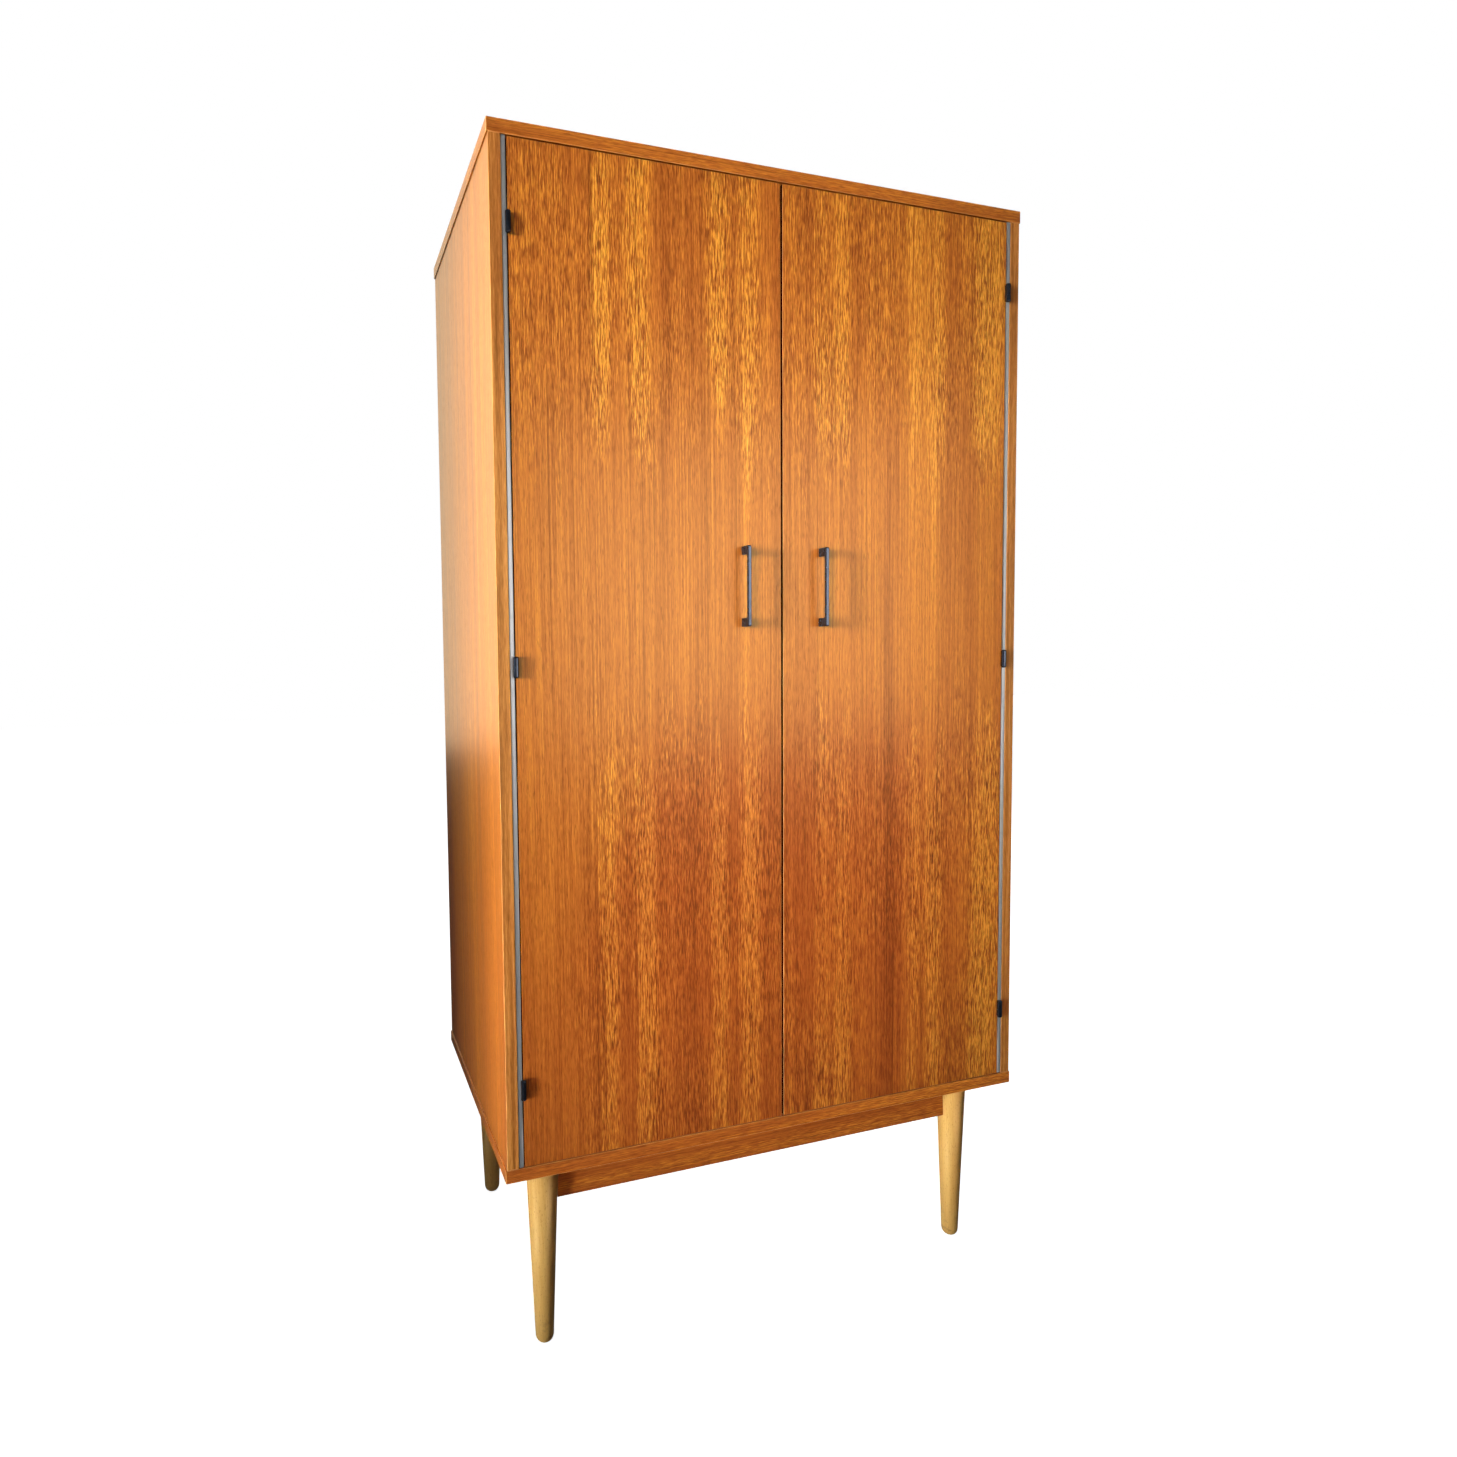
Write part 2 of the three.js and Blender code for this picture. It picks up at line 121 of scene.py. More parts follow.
def add_window(name, place, target, size, power, color):
    """A narrow beam of daylight. It has no reflection of its own, which would burn out the lacquer."""
    light = add_area_light(name, place, target, size, power, color, WINDOW_SPREAD)
    light.visible_glossy = False


def add_reflected_card(name, place, target, size, power, color):
    """A bright card that shows only as a soft reflection in the lacquer and the metal."""
    light = add_area_light(name, place, target, size, power, color)
    light.visible_diffuse = False


def add_lights():
    """Daylight from the left and the front, two fills, and three cards for the lacquer to mirror."""
    side_window = {"place": (-2.9, -1.15, 1.15), "target": (-0.45, -0.42, 1.05), "size": (0.5, 1.9)}
    front_window = {"place": (-2.4, -2.6, 1.5), "target": (0.0, -0.25, 1.2), "size": (0.5, 1.8)}
    front_fill = {"place": (-0.3, -3.2, 1.6), "target": (-0.1, 0.0, 1.45), "size": (2.0, 1.6)}
    back_fill = {"place": (2.6, 3.4, 2.6), "target": (0.0, 0.2, 0.9), "size": (2.0, 2.0)}
    front_card = {"place": (0.66, -1.75, 1.29), "target": (0.05, 0.0, 1.25), "size": (1.3, 1.1)}
    side_card = {"place": (-1.6, 4.0, 2.5), "target": (-1.6, 0.0, 2.5), "size": (2.4, 4.0)}
    add_window("side_window", **side_window, power=9.8, color=(0.94, 1.0, 0.86))
    add_window("front_window", **front_window, power=3.4, color=(1.0, 0.68, 0.44))
    add_area_light("front_fill", **front_fill, power=1.6, color=(1.0, 0.68, 0.42), spread=66)
    add_area_light("back_fill", **back_fill, power=60, color=(1.0, 0.95, 0.86))
    add_reflected_card("window_card", **side_window, power=45, color=(0.90, 0.95, 1.0))
    add_reflected_card("front_card", **front_card, power=24, color=(1.0, 0.93, 0.80))
    add_reflected_card("side_card", **side_card, power=66, color=(1.0, 0.70, 0.44))


def add_world():
    world = bpy.data.worlds.new("world")
    world.use_nodes = True
    tree = world.node_tree
    tree.nodes.clear()
    output = tree.nodes.new("ShaderNodeOutputWorld")
    path = tree.nodes.new("ShaderNodeLightPath")
    coordinate = tree.nodes.new("ShaderNodeTexCoord")
    split = tree.nodes.new("ShaderNodeSeparateXYZ")
    tree.links.new(coordinate.outputs["Generated"], split.inputs[0])
    height = tree.nodes.new("ShaderNodeMapRange")
    height.inputs["From Min"].default_value = -0.35
    height.inputs["From Max"].default_value = 0.35
    height.inputs["To Min"].default_value = 0.025
    height.inputs["To Max"].default_value = 0.11
    tree.links.new(split.outputs["Z"], height.inputs["Value"])
    room = tree.nodes.new("ShaderNodeBackground")
    tree.links.new(height.outputs["Result"], room.inputs["Strength"])
    dim = tree.nodes.new("ShaderNodeBackground")
    dim.inputs["Strength"].default_value = 0.04
    backdrop = tree.nodes.new("ShaderNodeBackground")
    backdrop.inputs["Strength"].default_value = 1.0
    for background in (room, dim, backdrop):
        background.inputs["Color"].default_value = WHITE
    glossy = tree.nodes.new("ShaderNodeMixShader")
    tree.links.new(path.outputs["Is Glossy Ray"], glossy.inputs["Fac"])
    tree.links.new(room.outputs[0], glossy.inputs[1])
    tree.links.new(dim.outputs[0], glossy.inputs[2])
    seen = tree.nodes.new("ShaderNodeMixShader")
    tree.links.new(path.outputs["Is Camera Ray"], seen.inputs["Fac"])
    tree.links.new(glossy.outputs[0], seen.inputs[1])
    tree.links.new(backdrop.outputs[0], seen.inputs[2])
    tree.links.new(seen.outputs[0], output.inputs["Surface"])
    bpy.context.scene.world = world


def add_floor():
    mesh = bpy.data.meshes.new("floor")
    reach = 14.0
    corners = [(-reach, -reach, 0.0), (reach, -reach, 0.0), (reach, reach, 0.0), (-reach, reach, 0.0)]
    mesh.from_pydata(corners, [], [(0, 1, 2, 3)])
    floor = bpy.data.objects.new("floor", mesh)
    material = bpy.data.materials.new("floor_paint")
    material.use_nodes = True
    shader = material.node_tree.nodes["Principled BSDF"]
    shader.inputs["Base Color"].default_value = (0.94, 0.94, 0.94, 1.0)
    shader.inputs["Roughness"].default_value = 0.9
    shader.inputs["Emission Color"].default_value = WHITE
    shader.inputs["Emission Strength"].default_value = 0.93
    mesh.materials.append(material)
    floor.visible_glossy = False
    floor.visible_diffuse = False
    bpy.context.scene.collection.objects.link(floor)


# ---------------------------------------------------------------- material nodes


class Graph:
    """Builds the nodes of one material. Sockets and plain numbers can be mixed freely."""

    def __init__(self, name):
        self.material = bpy.data.materials.new(name)
        self.material.use_nodes = True
        self.tree = self.material.node_tree
        self.shader = self.tree.nodes["Principled BSDF"]

    def put(self, socket, value):
        if isinstance(value, bpy.types.NodeSocket):
            self.tree.links.new(value, socket)
        else:
            socket.default_value = value

    def set(self, **values):
        for name, value in values.items():
            self.put(self.shader.inputs[name.replace("_", " ")], value)

    def math(self, operation, first, second=0.0, clamp=False):
        node = self.tree.nodes.new("ShaderNodeMath")
        node.operation = operation
        node.use_clamp = clamp
        self.put(node.inputs[0], first)
        self.put(node.inputs[1], second)
        return node.outputs[0]

    def times(self, first, second):
        return self.math("MULTIPLY", first, second)

    def minus(self, first, second):
        return self.math("SUBTRACT", first, second)

    def swing(self, value, reach):
        """A 0 to 1 value made to swing about zero, by half of reach each way."""
        return self.times(self.minus(value, 0.5), reach)

    def total(self, *terms):
        result = terms[0]
        for term in terms[1:]:
            result = self.math("ADD", result, term)
        return result

    def vector(self, operation, first, second):
        node = self.tree.nodes.new("ShaderNodeVectorMath")
        node.operation = operation
        self.put(node.inputs[0], first)
        self.put(node.inputs["Scale" if operation == "SCALE" else 1], second)
        return node.outputs[0]

    def coordinate(self, name):
        return self.tree.nodes.new("ShaderNodeTexCoord").outputs[name]

    def split(self, vector):
        node = self.tree.nodes.new("ShaderNodeSeparateXYZ")
        self.put(node.inputs[0], vector)
        return list(node.outputs)

    def combine(self, x, y, z):
        node = self.tree.nodes.new("ShaderNodeCombineXYZ")
        for socket, value in zip(node.inputs, (x, y, z)):
            self.put(socket, value)
        return node.outputs[0]

    def noise(self, vector, scale, detail=2.0, roughness=0.5, output=0):
        """Noise with its own scale along each axis; output 0 is the value, 1 the colour."""
        node = self.tree.nodes.new("ShaderNodeTexNoise")
        node.inputs["Scale"].default_value = 1.0
        node.inputs["Detail"].default_value = detail
        node.inputs["Roughness"].default_value = roughness
        self.put(node.inputs["Vector"], self.vector("MULTIPLY", vector, scale))
        return node.outputs[output]

    def ramp(self, value, low, high, result_low=0.0, result_high=1.0):
        node = self.tree.nodes.new("ShaderNodeMapRange")
        node.interpolation_type = "SMOOTHSTEP"
        self.put(node.inputs["Value"], value)
        node.inputs["From Min"].default_value = low
        node.inputs["From Max"].default_value = high
        node.inputs["To Min"].default_value = result_low
        node.inputs["To Max"].default_value = result_high
        return node.outputs["Result"]

    def colors(self, value, stops):
        node = self.tree.nodes.new("ShaderNodeValToRGB")
        elements = node.color_ramp.elements
        while len(elements) < len(stops):
            elements.new(0.5)
        for element, (place, color) in zip(elements, stops):
            element.position = place
            element.color = srgb(*color)
        self.put(node.inputs["Fac"], value)
        return node.outputs["Color"]

    def mix(self, fac, first, second, blend="MIX"):
        node = self.tree.nodes.new("ShaderNodeMix")
        node.data_type = "RGBA"
        node.blend_type = blend
        self.put(node.inputs["Factor"], fac)
        self.put(node.inputs[6], first)
        self.put(node.inputs[7], second)
        return node.outputs[2]

    def bump(self, height, strength, distance):
        node = self.tree.nodes.new("ShaderNodeBump")
        node.inputs["Strength"].default_value = strength
        node.inputs["Distance"].default_value = distance
        self.put(node.inputs["Height"], height)
        return node.outputs[0]

    def attribute(self, name):
        node = self.tree.nodes.new("ShaderNodeAttribute")
        node.attribute_name = name
        return node.outputs["Fac"]


def srgb(red, green, blue):
    """A colour from its 0 to 255 screen values."""
    shares = [value / 255 for value in (red, green, blue)]
    linear = [((c + 0.055) / 1.055) ** 2.4 if c > 0.04045 else c / 12.92 for c in shares]
    return (*linear, 1.0)


# ---------------------------------------------------------------- finishes

# Wood is drawn in grain coordinates: two across the grain, then one along it.
GRAIN_ORDER = {"Z": (0, 1, 2), "X": (1, 2, 0), "Y": (0, 2, 1)}


def grain_coordinates(g, axis, offset):
    parts = g.split(g.coordinate("Object"))
    ordered = g.combine(*[parts[i] for i in GRAIN_ORDER[axis]])
    return g.vector("ADD", ordered, offset)


def wander(g, place, reach, across, along):
    """Shifts the grain sideways by a slow noise, so that no line runs dead straight."""
    drift = g.noise(place, (across, across, along), 1.0, output=1)
    centred = g.vector("SUBTRACT", drift, (0.5, 0.5, 0.5))
    return g.vector("ADD", place, g.vector("MULTIPLY", centred, (reach, reach, 0.0)))


TEAK_STOPS = (
    (0.00, (108, 50, 20)),
    (0.26, (148, 76, 30)),
    (0.50, (188, 108, 42)),
    (0.74, (216, 139, 50)),
    (1.00, (242, 177, 68)),
)
LIPPING_STOPS = (
    (0.00, (132, 76, 34)),
    (0.35, (168, 104, 50)),
    (0.65, (190, 124, 62)),
    (1.00, (214, 150, 80)),
)
# Near black edge wood for the doors: painted shade in the gaps beside and between the doors.
PAINTED_SHADE_LIPPING_STOPS = (
    (0.00, (22, 5, 4)),
    (1.00, (48, 14, 9)),
)

PORE_COLOR = (96, 42, 14)
GROWTH_LINE_COLOR = (100, 42, 16)
# Pale arris colour: partly rubbed lacquer, partly a painted highlight of the light from the left.
RUB_AND_HIGHLIGHT_COLOR = (234, 176, 112)
# Multiplies a door's foot: the veneer's redder tone, with painted shade towards the doors' middle.
DOOR_FOOT_TINT_AND_SHADE = (0.80, 0.58, 0.74, 1.0)
CARCASS_LOW_TINT = (0.94, 0.82, 0.94, 1.0)

# Where the doors' golden ribbons run: centre and half width across the door in metres, then strength.
DOOR_RIBBONS = {
    "left": (
        (-0.293, 0.020, 0.8),
        (-0.234, 0.024, 0.9),
        (-0.108, 0.022, 0.9),
        (-0.055, 0.024, 0.8),
    ),
    "right": (
        (0.072, 0.020, 0.7),
        (0.108, 0.026, 0.8),
        (0.250, 0.016, 0.6),
        (0.290, 0.022, 0.8),
        (0.395, 0.045, 1.0),
    ),
}
LIVELY_ABOVE = (1.30, 1.56)      # the figure grows stronger between these heights
LIVELY_BELOW = (0.82, 1.04)      # and again downwards between these


def golden_ribbons(g, across, streak, ribbons):
    """How golden the veneer is: 0 between the ribbons, up to 1 in the middle of one."""
    ragged = g.total(across, g.swing(streak, 0.045))
    golden = 0.0
    for centre, half_width, strength in ribbons:
        distance = g.math("ABSOLUTE", g.minus(ragged, centre))
        ribbon = g.ramp(distance, half_width * 0.3, half_width, strength, 0.0)
        golden = g.math("MAXIMUM", golden, ribbon)
    return golden


def door_liveliness(g, place, height, across):
    """How lively a door's figure is: calm at mid height, and low down by the left door's hinges."""
    uneven = g.total(height, g.swing(g.noise(place, (30.0, 30.0, 3.0)), 0.5))
    above = g.ramp(uneven, *LIVELY_ABOVE)
    below = g.ramp(uneven, *LIVELY_BELOW, 1.0, 0.0)
    off_the_edge = g.ramp(across, -0.38, -0.28, 0.15, 1.0)
    return g.math("MAXIMUM", above, g.times(below, off_the_edge))


def tint_and_shade_door_foot(g, color, height, across):
    """Reddens and darkens a door's lower part, which reaches less high towards the left door's hinge edge.
    The red is the veneer's tone; the extra darkness towards the doors' middle is painted shade, and the
    easing near the floor is painted light.
    """
    level = g.total(height, g.ramp(across, -0.40, -0.18, 0.36, 0.0))
    fading = g.times(g.ramp(level, 0.84, 1.08, 1.0, 0.0), g.ramp(height, 0.35, 0.84, 0.8, 1.0))
    shade_near_middle = g.ramp(g.math("ABSOLUTE", across), 0.20, 0.40, 1.0, 0.5)
    return g.mix(g.times(fading, shade_near_middle), color, DOOR_FOOT_TINT_AND_SHADE, "MULTIPLY")


def show_lipping(g, color, raw, axis, stops):
    """Puts solid edge wood on the faces that look along an axis, and says where it shows."""
    place = g.vector("ADD", raw, (3.1, 1.7, 0.4))
    value = g.total(
        g.times(g.noise(place, (160.0, 160.0, 3.0), 2.0, 0.6), 0.6),
        g.times(g.noise(place, (900.0, 900.0, 60.0), 2.0, 0.6), 0.4),
    )
    normal = g.split(g.coordinate("Normal"))["XYZ".index(axis)]
    on_lipping = g.ramp(g.math("ABSOLUTE", normal), 0.97, 0.99)
    return g.mix(on_lipping, color, g.colors(g.ramp(value, 0.3, 0.7), stops)), on_lipping


def teak(name, axis, seed, figure=1.0, tone=0.0, lipping=None, lipping_stops=LIPPING_STOPS, ribbons=()):
    """Lacquered quarter-cut teak veneer. lipping is the axis whose faces are solid edge strips.
    A veneer with ribbons is a door's, and a door's lipping is dull; the doors' lipping stops paint it near
    black as shade in the gaps."""
    g = Graph(name)
    offset = (seed * 1.37, seed * 2.11, seed * 0.73)
    raw = grain_coordinates(g, axis, offset)
    place = wander(g, wander(g, raw, 0.010, 4.0, 1.0), 0.0009, 60.0, 26.0)
    height = g.split(g.coordinate("Object"))[2]

    broad = g.noise(place, (11.0, 11.0, 0.45), 2.0, 0.6)
    band = g.noise(place, (42.0, 42.0, 0.9), 2.0, 0.6)
    streak = g.noise(place, (420.0, 420.0, 2.0), 3.0, 0.7)
    fleck = g.noise(place, (1100.0, 1100.0, 80.0), 1.0)
    blur = g.noise(place, (800.0, 800.0, 44.0), 1.0)
    dash = g.noise(place, (1000.0, 1000.0, 60.0), 1.0)
    threads = g.ramp(g.noise(place, (640.0, 640.0, 14.0), 2.0, 0.6), 0.42, 0.58)
    patch = g.ramp(g.noise(place, (12.0, 12.0, 2.6), 1.5), 0.36, 0.60)
    if ribbons:
        across = g.minus(g.split(place)[0], offset[0])
        golden = golden_ribbons(g, across, streak, ribbons)
        lively = door_liveliness(g, place, height, across)
    else:
        golden = g.ramp(g.noise(place, (24.0, 24.0, 0.6), 1.0), 0.55, 0.66)
        lively = 0.4

    flecks = g.total(g.ramp(fleck, 0.40, 0.60, -0.8, 0.8), g.ramp(blur, 0.40, 0.60, -1.0, 1.0))
    lively_depth = g.total(0.045, g.times(patch, 0.10), g.times(golden, 0.18))
    fleck_depth = g.total(0.045, g.times(lively, lively_depth))
    gold_strength = g.times(g.total(0.08, g.times(lively, 0.16)), g.total(0.4, threads))
    value = g.total(
        0.45 + tone,
        g.swing(broad, 0.26),
        g.swing(band, 0.34),
        g.swing(streak, 0.85),
        g.times(golden, gold_strength),
        g.times(g.times(flecks, fleck_depth), figure),
    )
    color = g.colors(value, TEAK_STOPS)

    pores = g.ramp(dash, 0.60, 0.70)
    line = g.ramp(g.noise(place, (300.0, 300.0, 0.9), 1.0), 0.66, 0.72)
    color = g.mix(g.times(pores, 0.55 * figure), color, srgb(*PORE_COLOR))
    color = g.mix(g.times(line, 0.50), color, srgb(*GROWTH_LINE_COLOR))
    # How pale the arrises are painted: partly rubbed lacquer, partly a painted highlight.
    rub_and_highlight = g.ramp(g.noise(raw, (40.0, 40.0, 40.0)), 0.35, 0.7, 0.55, 0.95)
    if ribbons:
        # The doors' feet get the redder veneer tone and painted shade.
        color = tint_and_shade_door_foot(g, color, height, across)
        # On a door the painted highlight and rub stay on the meeting edges.
        rub_and_highlight = g.times(rub_and_highlight, g.ramp(g.math("ABSOLUTE", across), 0.30, 0.40, 1.0, 0.0))
    else:
        color = g.mix(g.ramp(height, 0.45, 1.12, 1.0, 0.0), color, CARCASS_LOW_TINT, "MULTIPLY")
    on_lipping = 0.0
    if lipping:
        color, on_lipping = show_lipping(g, color, raw, lipping, lipping_stops)
    # Paints the arrises pale: rubbed lacquer and a painted highlight.
    color = g.mix(g.times(g.attribute("arris"), rub_and_highlight), color, srgb(*RUB_AND_HIGHLIGHT_COLOR))

    shine = g.minus(1.0, on_lipping) if ribbons else 1.0
    relief = g.total(g.times(streak, 0.5), g.times(pores, -0.9))
    g.set(
        Base_Color=color,
        Roughness=g.total(0.36, g.times(pores, 0.12), g.swing(band, 0.06)),
        Normal=g.bump(relief, 0.10, 0.0002),
        Specular_IOR_Level=g.times(shine, 0.5),
        Specular_Tint=(1.0, 0.84, 0.34, 1.0),
        Coat_Weight=g.times(shine, 0.12),
        Coat_Roughness=0.24,
    )
    return g.material


BEECH_STOPS = (
    (0.00, (156, 100, 52)),
    (0.40, (190, 140, 78)),
    (0.70, (208, 162, 94)),
    (1.00, (224, 184, 114)),
)


def beech(name, axis, seed):
    """Clear-lacquered beech: faint growth lines and the short brown flecks of the wood's rays."""
    g = Graph(name)
    raw = grain_coordinates(g, axis, (seed * 0.91, seed * 1.73, seed * 0.37))
    place = wander(g, raw, 0.004, 12.0, 3.0)
    growth = g.noise(place, (70.0, 70.0, 1.6), 3.0, 0.6)
    fiber = g.noise(place, (620.0, 620.0, 16.0), 2.0, 0.6)
    value = g.total(
        0.15,
        g.times(growth, 0.75),
        g.times(fiber, 0.45),
    )
    color = g.colors(value, BEECH_STOPS)
    rays = g.ramp(g.noise(place, (800.0, 800.0, 190.0), 1.0), 0.60, 0.72)
    color = g.mix(g.times(rays, 0.42), color, srgb(150, 92, 44))
    height = g.split(g.coordinate("Object"))[2]
    scuffs = g.ramp(g.noise(raw, (60.0, 60.0, 90.0), 3.0, 0.7), 0.52, 0.72)
    near_floor = g.ramp(height, 0.004, 0.075, 0.55, 0.0)
    color = g.mix(g.times(scuffs, near_floor), color, srgb(112, 72, 40))
    g.set(
        Base_Color=color,
        Roughness=g.total(0.34, g.times(fiber, 0.12)),
        Normal=g.bump(g.total(fiber, g.times(rays, -0.6)), 0.08, 0.0002),
        Specular_Tint=(1.0, 0.80, 0.45, 1.0),
        Coat_Weight=0.06,
        Coat_Roughness=0.22,
    )
    return g.material


def plywood(name):
    """The unfinished back: rotary-cut veneer with broad flame figure and small dark specks."""
    g = Graph(name)
    raw = grain_coordinates(g, "Z", (0.3, 0.9, 0.2))
    place = wander(g, raw, 0.09, 5.0, 1.6)
    flame = g.noise(place, (26.0, 26.0, 0.9), 3.0, 0.6)
    fiber = g.noise(place, (500.0, 500.0, 14.0), 2.0, 0.6)
    value = g.total(g.times(flame, 0.7), g.times(fiber, 0.3))
    stops = ((0.2, (142, 92, 52)), (0.5, (186, 134, 84)), (0.8, (208, 160, 106)))
    color = g.colors(value, stops)
    specks = g.ramp(g.noise(place, (420.0, 420.0, 110.0), 1.0), 0.66, 0.74)
    color = g.mix(g.times(specks, 0.5), color, srgb(96, 60, 34))
    g.set(
        Base_Color=color,
        Roughness=g.total(0.62, g.times(fiber, 0.2)),
        Normal=g.bump(fiber, 0.25, 0.0003),
    )
    return g.material


def metal(name, color, roughness, brushed_axis=None, metallic=1.0, tarnish=0.2, dark=(40, 38, 36)):
    """Worn metal: uneven gloss, faint scratches along one axis, and darker patches."""
    g = Graph(name)
    raw = g.coordinate("Object")
    cloud = g.noise(raw, (55.0, 55.0, 55.0), 3.0, 0.65)
    grit = g.noise(raw, (1500.0, 1500.0, 1500.0), 2.0)
    if brushed_axis:
        scale = [1600.0, 1600.0, 1600.0]
        scale["XYZ".index(brushed_axis)] = 12.0
        scratches = g.noise(raw, tuple(scale), 2.0, 0.6)
    else:
        scratches = g.noise(raw, (420.0, 420.0, 420.0), 3.0, 0.7)
    patch = g.ramp(cloud, 0.5, 0.72)
    base = g.mix(g.times(patch, tarnish), srgb(*color), srgb(*dark))
    wear = g.total(roughness - 0.08, g.times(scratches, 0.12), g.times(patch, 0.10))
    g.set(
        Base_Color=g.mix(g.times(grit, 0.10), base, srgb(*dark)),
        Roughness=wear,
        Metallic=metallic,
        Normal=g.bump(g.total(scratches, g.times(grit, 0.3)), 0.12, 0.00006),
    )
    return g.material


def plastic(name, color):
    """Aged plastic, yellowed in patches."""
    g = Graph(name)
    raw = g.coordinate("Object")
    cloud = g.noise(raw, (35.0, 35.0, 35.0), 3.0, 0.6)
    grain = g.noise(raw, (1800.0, 1800.0, 1800.0), 1.0)
    aged = tuple(int(c * f) for c, f in zip(color, (0.94, 0.88, 0.72)))
    g.set(
        Base_Color=g.mix(g.ramp(cloud, 0.35, 0.75), srgb(*color), srgb(*aged)),
        Roughness=g.total(0.38, g.times(grain, 0.16)),
        Normal=g.bump(grain, 0.15, 0.0001),
    )
    return g.material


# ---------------------------------------------------------------- mesh helpers

SHARP_ANGLE = math.radians(30)
UPRIGHT_RUB_AND_HIGHLIGHT = 1.0        # how far an upright arris is paled: partly rubbed lacquer, partly a painted highlight
LEVEL_RUB_AND_HIGHLIGHT = 0.1
HOLE_SEGMENTS = 24


def finish_piece(mesh, name, body, material, nodes=()):
    """Gives a mesh its material, the body it rides on, and the CAD nodes it stands for."""
    mesh.materials.clear()
    mesh.materials.append(material)
    piece = bpy.data.objects.new(name, mesh)
    bpy.context.scene.collection.objects.link(piece)
    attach(piece, body)
    if nodes:
        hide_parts(*nodes)
    return piece


def body_of(node):
    return NODES[node]["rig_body"]


def to_mesh(bm, name):
    bmesh.ops.recalc_face_normals(bm, faces=bm.faces)
    mesh = bpy.data.meshes.new(name)
    bm.to_mesh(mesh)
    bm.free()
    return mesh


def replace_node(node, bm, material, suffix="_fine"):
    """Makes a shape the piece that stands for a CAD node."""
    name = node + suffix
    return finish_piece(to_mesh(bm, name), name, body_of(node), material, [node])


def add_extra(node, bm, material, suffix="_screws"):
    """Makes a steel shape that the CAD leaves out a piece on a CAD node's body."""
    name = node + suffix
    finish_piece(to_mesh(bm, name), name, body_of(node), material)


def every_edge(edge):
    return True


def soften(bm, radius, segments, wanted=every_edge):
    """Rounds the sharp outward edges. The new faces are marked as arrises, the upright ones paled most,
    partly by rubbed lacquer and partly by a painted highlight of the light from the left.
    """
    arris = bm.faces.layers.float.get("arris") or bm.faces.layers.float.new("arris")
    outward = [e for e in bm.edges if e.is_manifold and e.is_convex]
    edges = [e for e in outward if e.calc_face_angle(0.0) > SHARP_ANGLE and wanted(e)]
    result = bmesh.ops.bevel(
        bm, geom=edges, offset=radius, segments=segments, profile=0.5, affect="EDGES", clamp_overlap=True
    )
    for face in result["faces"]:
        face.normal_update()
        face[arris] = UPRIGHT_RUB_AND_HIGHLIGHT if abs(face.normal.z) < 0.3 else LEVEL_RUB_AND_HIGHLIGHT
        face.smooth = True


def clean_copy(node):
    """A CAD node's mesh with its doubled vertices and its needless edges gone."""
    bm = bmesh.new()
    bm.from_mesh(NODES[node].data)
    bmesh.ops.remove_doubles(bm, verts=bm.verts, dist=0.00001)
    bmesh.ops.dissolve_limit(
        bm, angle_limit=math.radians(0.5), verts=bm.verts, edges=bm.edges, use_dissolve_boundaries=False
    )
    for face in bm.faces:
        face.smooth = False
    return bm


def dress(node, material, radius, segments=2):
    """A copy of a CAD node with clean faces and rounded arrises, which stands for the node."""
    bm = clean_copy(node)
    soften(bm, radius, segments)
    replace_node(node, bm, material, "_dressed")


def revolve(bm, profile, segments, matrix=Matrix.Identity(4), smooth=True):
    """A closed turned shape about Z. The profile is a list of (radius, height).
    It starts and ends on the axis, or closes on itself."""
    on_axis = profile[0][0] == 0.0
    rings = []
    for radius, height in profile:
        if radius == 0.0:
            rings.append([bm.verts.new(matrix @ Vector((0.0, 0.0, height)))])
        else:
            ring = []
            for step in range(segments):
                angle = 2 * math.pi * step / segments
                place = Vector((radius * math.cos(angle), radius * math.sin(angle), height))
                ring.append(bm.verts.new(matrix @ place))
            rings.append(ring)
    pairs = list(zip(rings, rings[1:]))
    if not on_axis:
        pairs.append((rings[-1], rings[0]))
    made = []
    for low, high in pairs:
        for step in range(segments):
            after = (step + 1) % segments
            way_round = ((low, step), (low, after), (high, after), (high, step))
            corners = [ring[index % len(ring)] for ring, index in way_round]
            unique = list(dict.fromkeys(corners))
            if len(unique) > 2:
                made.append(bm.faces.new(unique))
    for face in made:
        face.smooth = smooth
    return made


def add_box(bm, low, high):
    corners = [bm.verts.new(place) for place in itertools.product(*zip(low, high))]
    quads = ((0, 1, 3, 2), (4, 6, 7, 5), (0, 4, 5, 1), (2, 3, 7, 6), (0, 2, 6, 4), (1, 5, 7, 3))
    for quad in quads:
        bm.faces.new([corners[i] for i in quad])


def even_shading(piece):
    """Keeps the wide flat faces looking flat beside their rounded edges."""
    piece.modifiers.new("even_shading", "WEIGHTED_NORMAL").keep_sharp = True


def facing(place, direction, turn=0.0):
    """A matrix that puts a shape drawn about +Z at a place, with its Z along a direction."""
    aim = Vector(direction).to_track_quat("Z", "Y").to_matrix().to_4x4()
    return Matrix.Translation(place) @ aim @ Matrix.Rotation(turn, 4, "Z")


def arc(center, radius, first, last, steps):
    """Points round a circle between two angles in degrees, both ends included."""
    points = []
    for step in range(steps + 1):
        angle = math.radians(first + (last - first) * step / steps)
        points.append((center[0] + radius * math.cos(angle), center[1] + radius * math.sin(angle)))
    return points


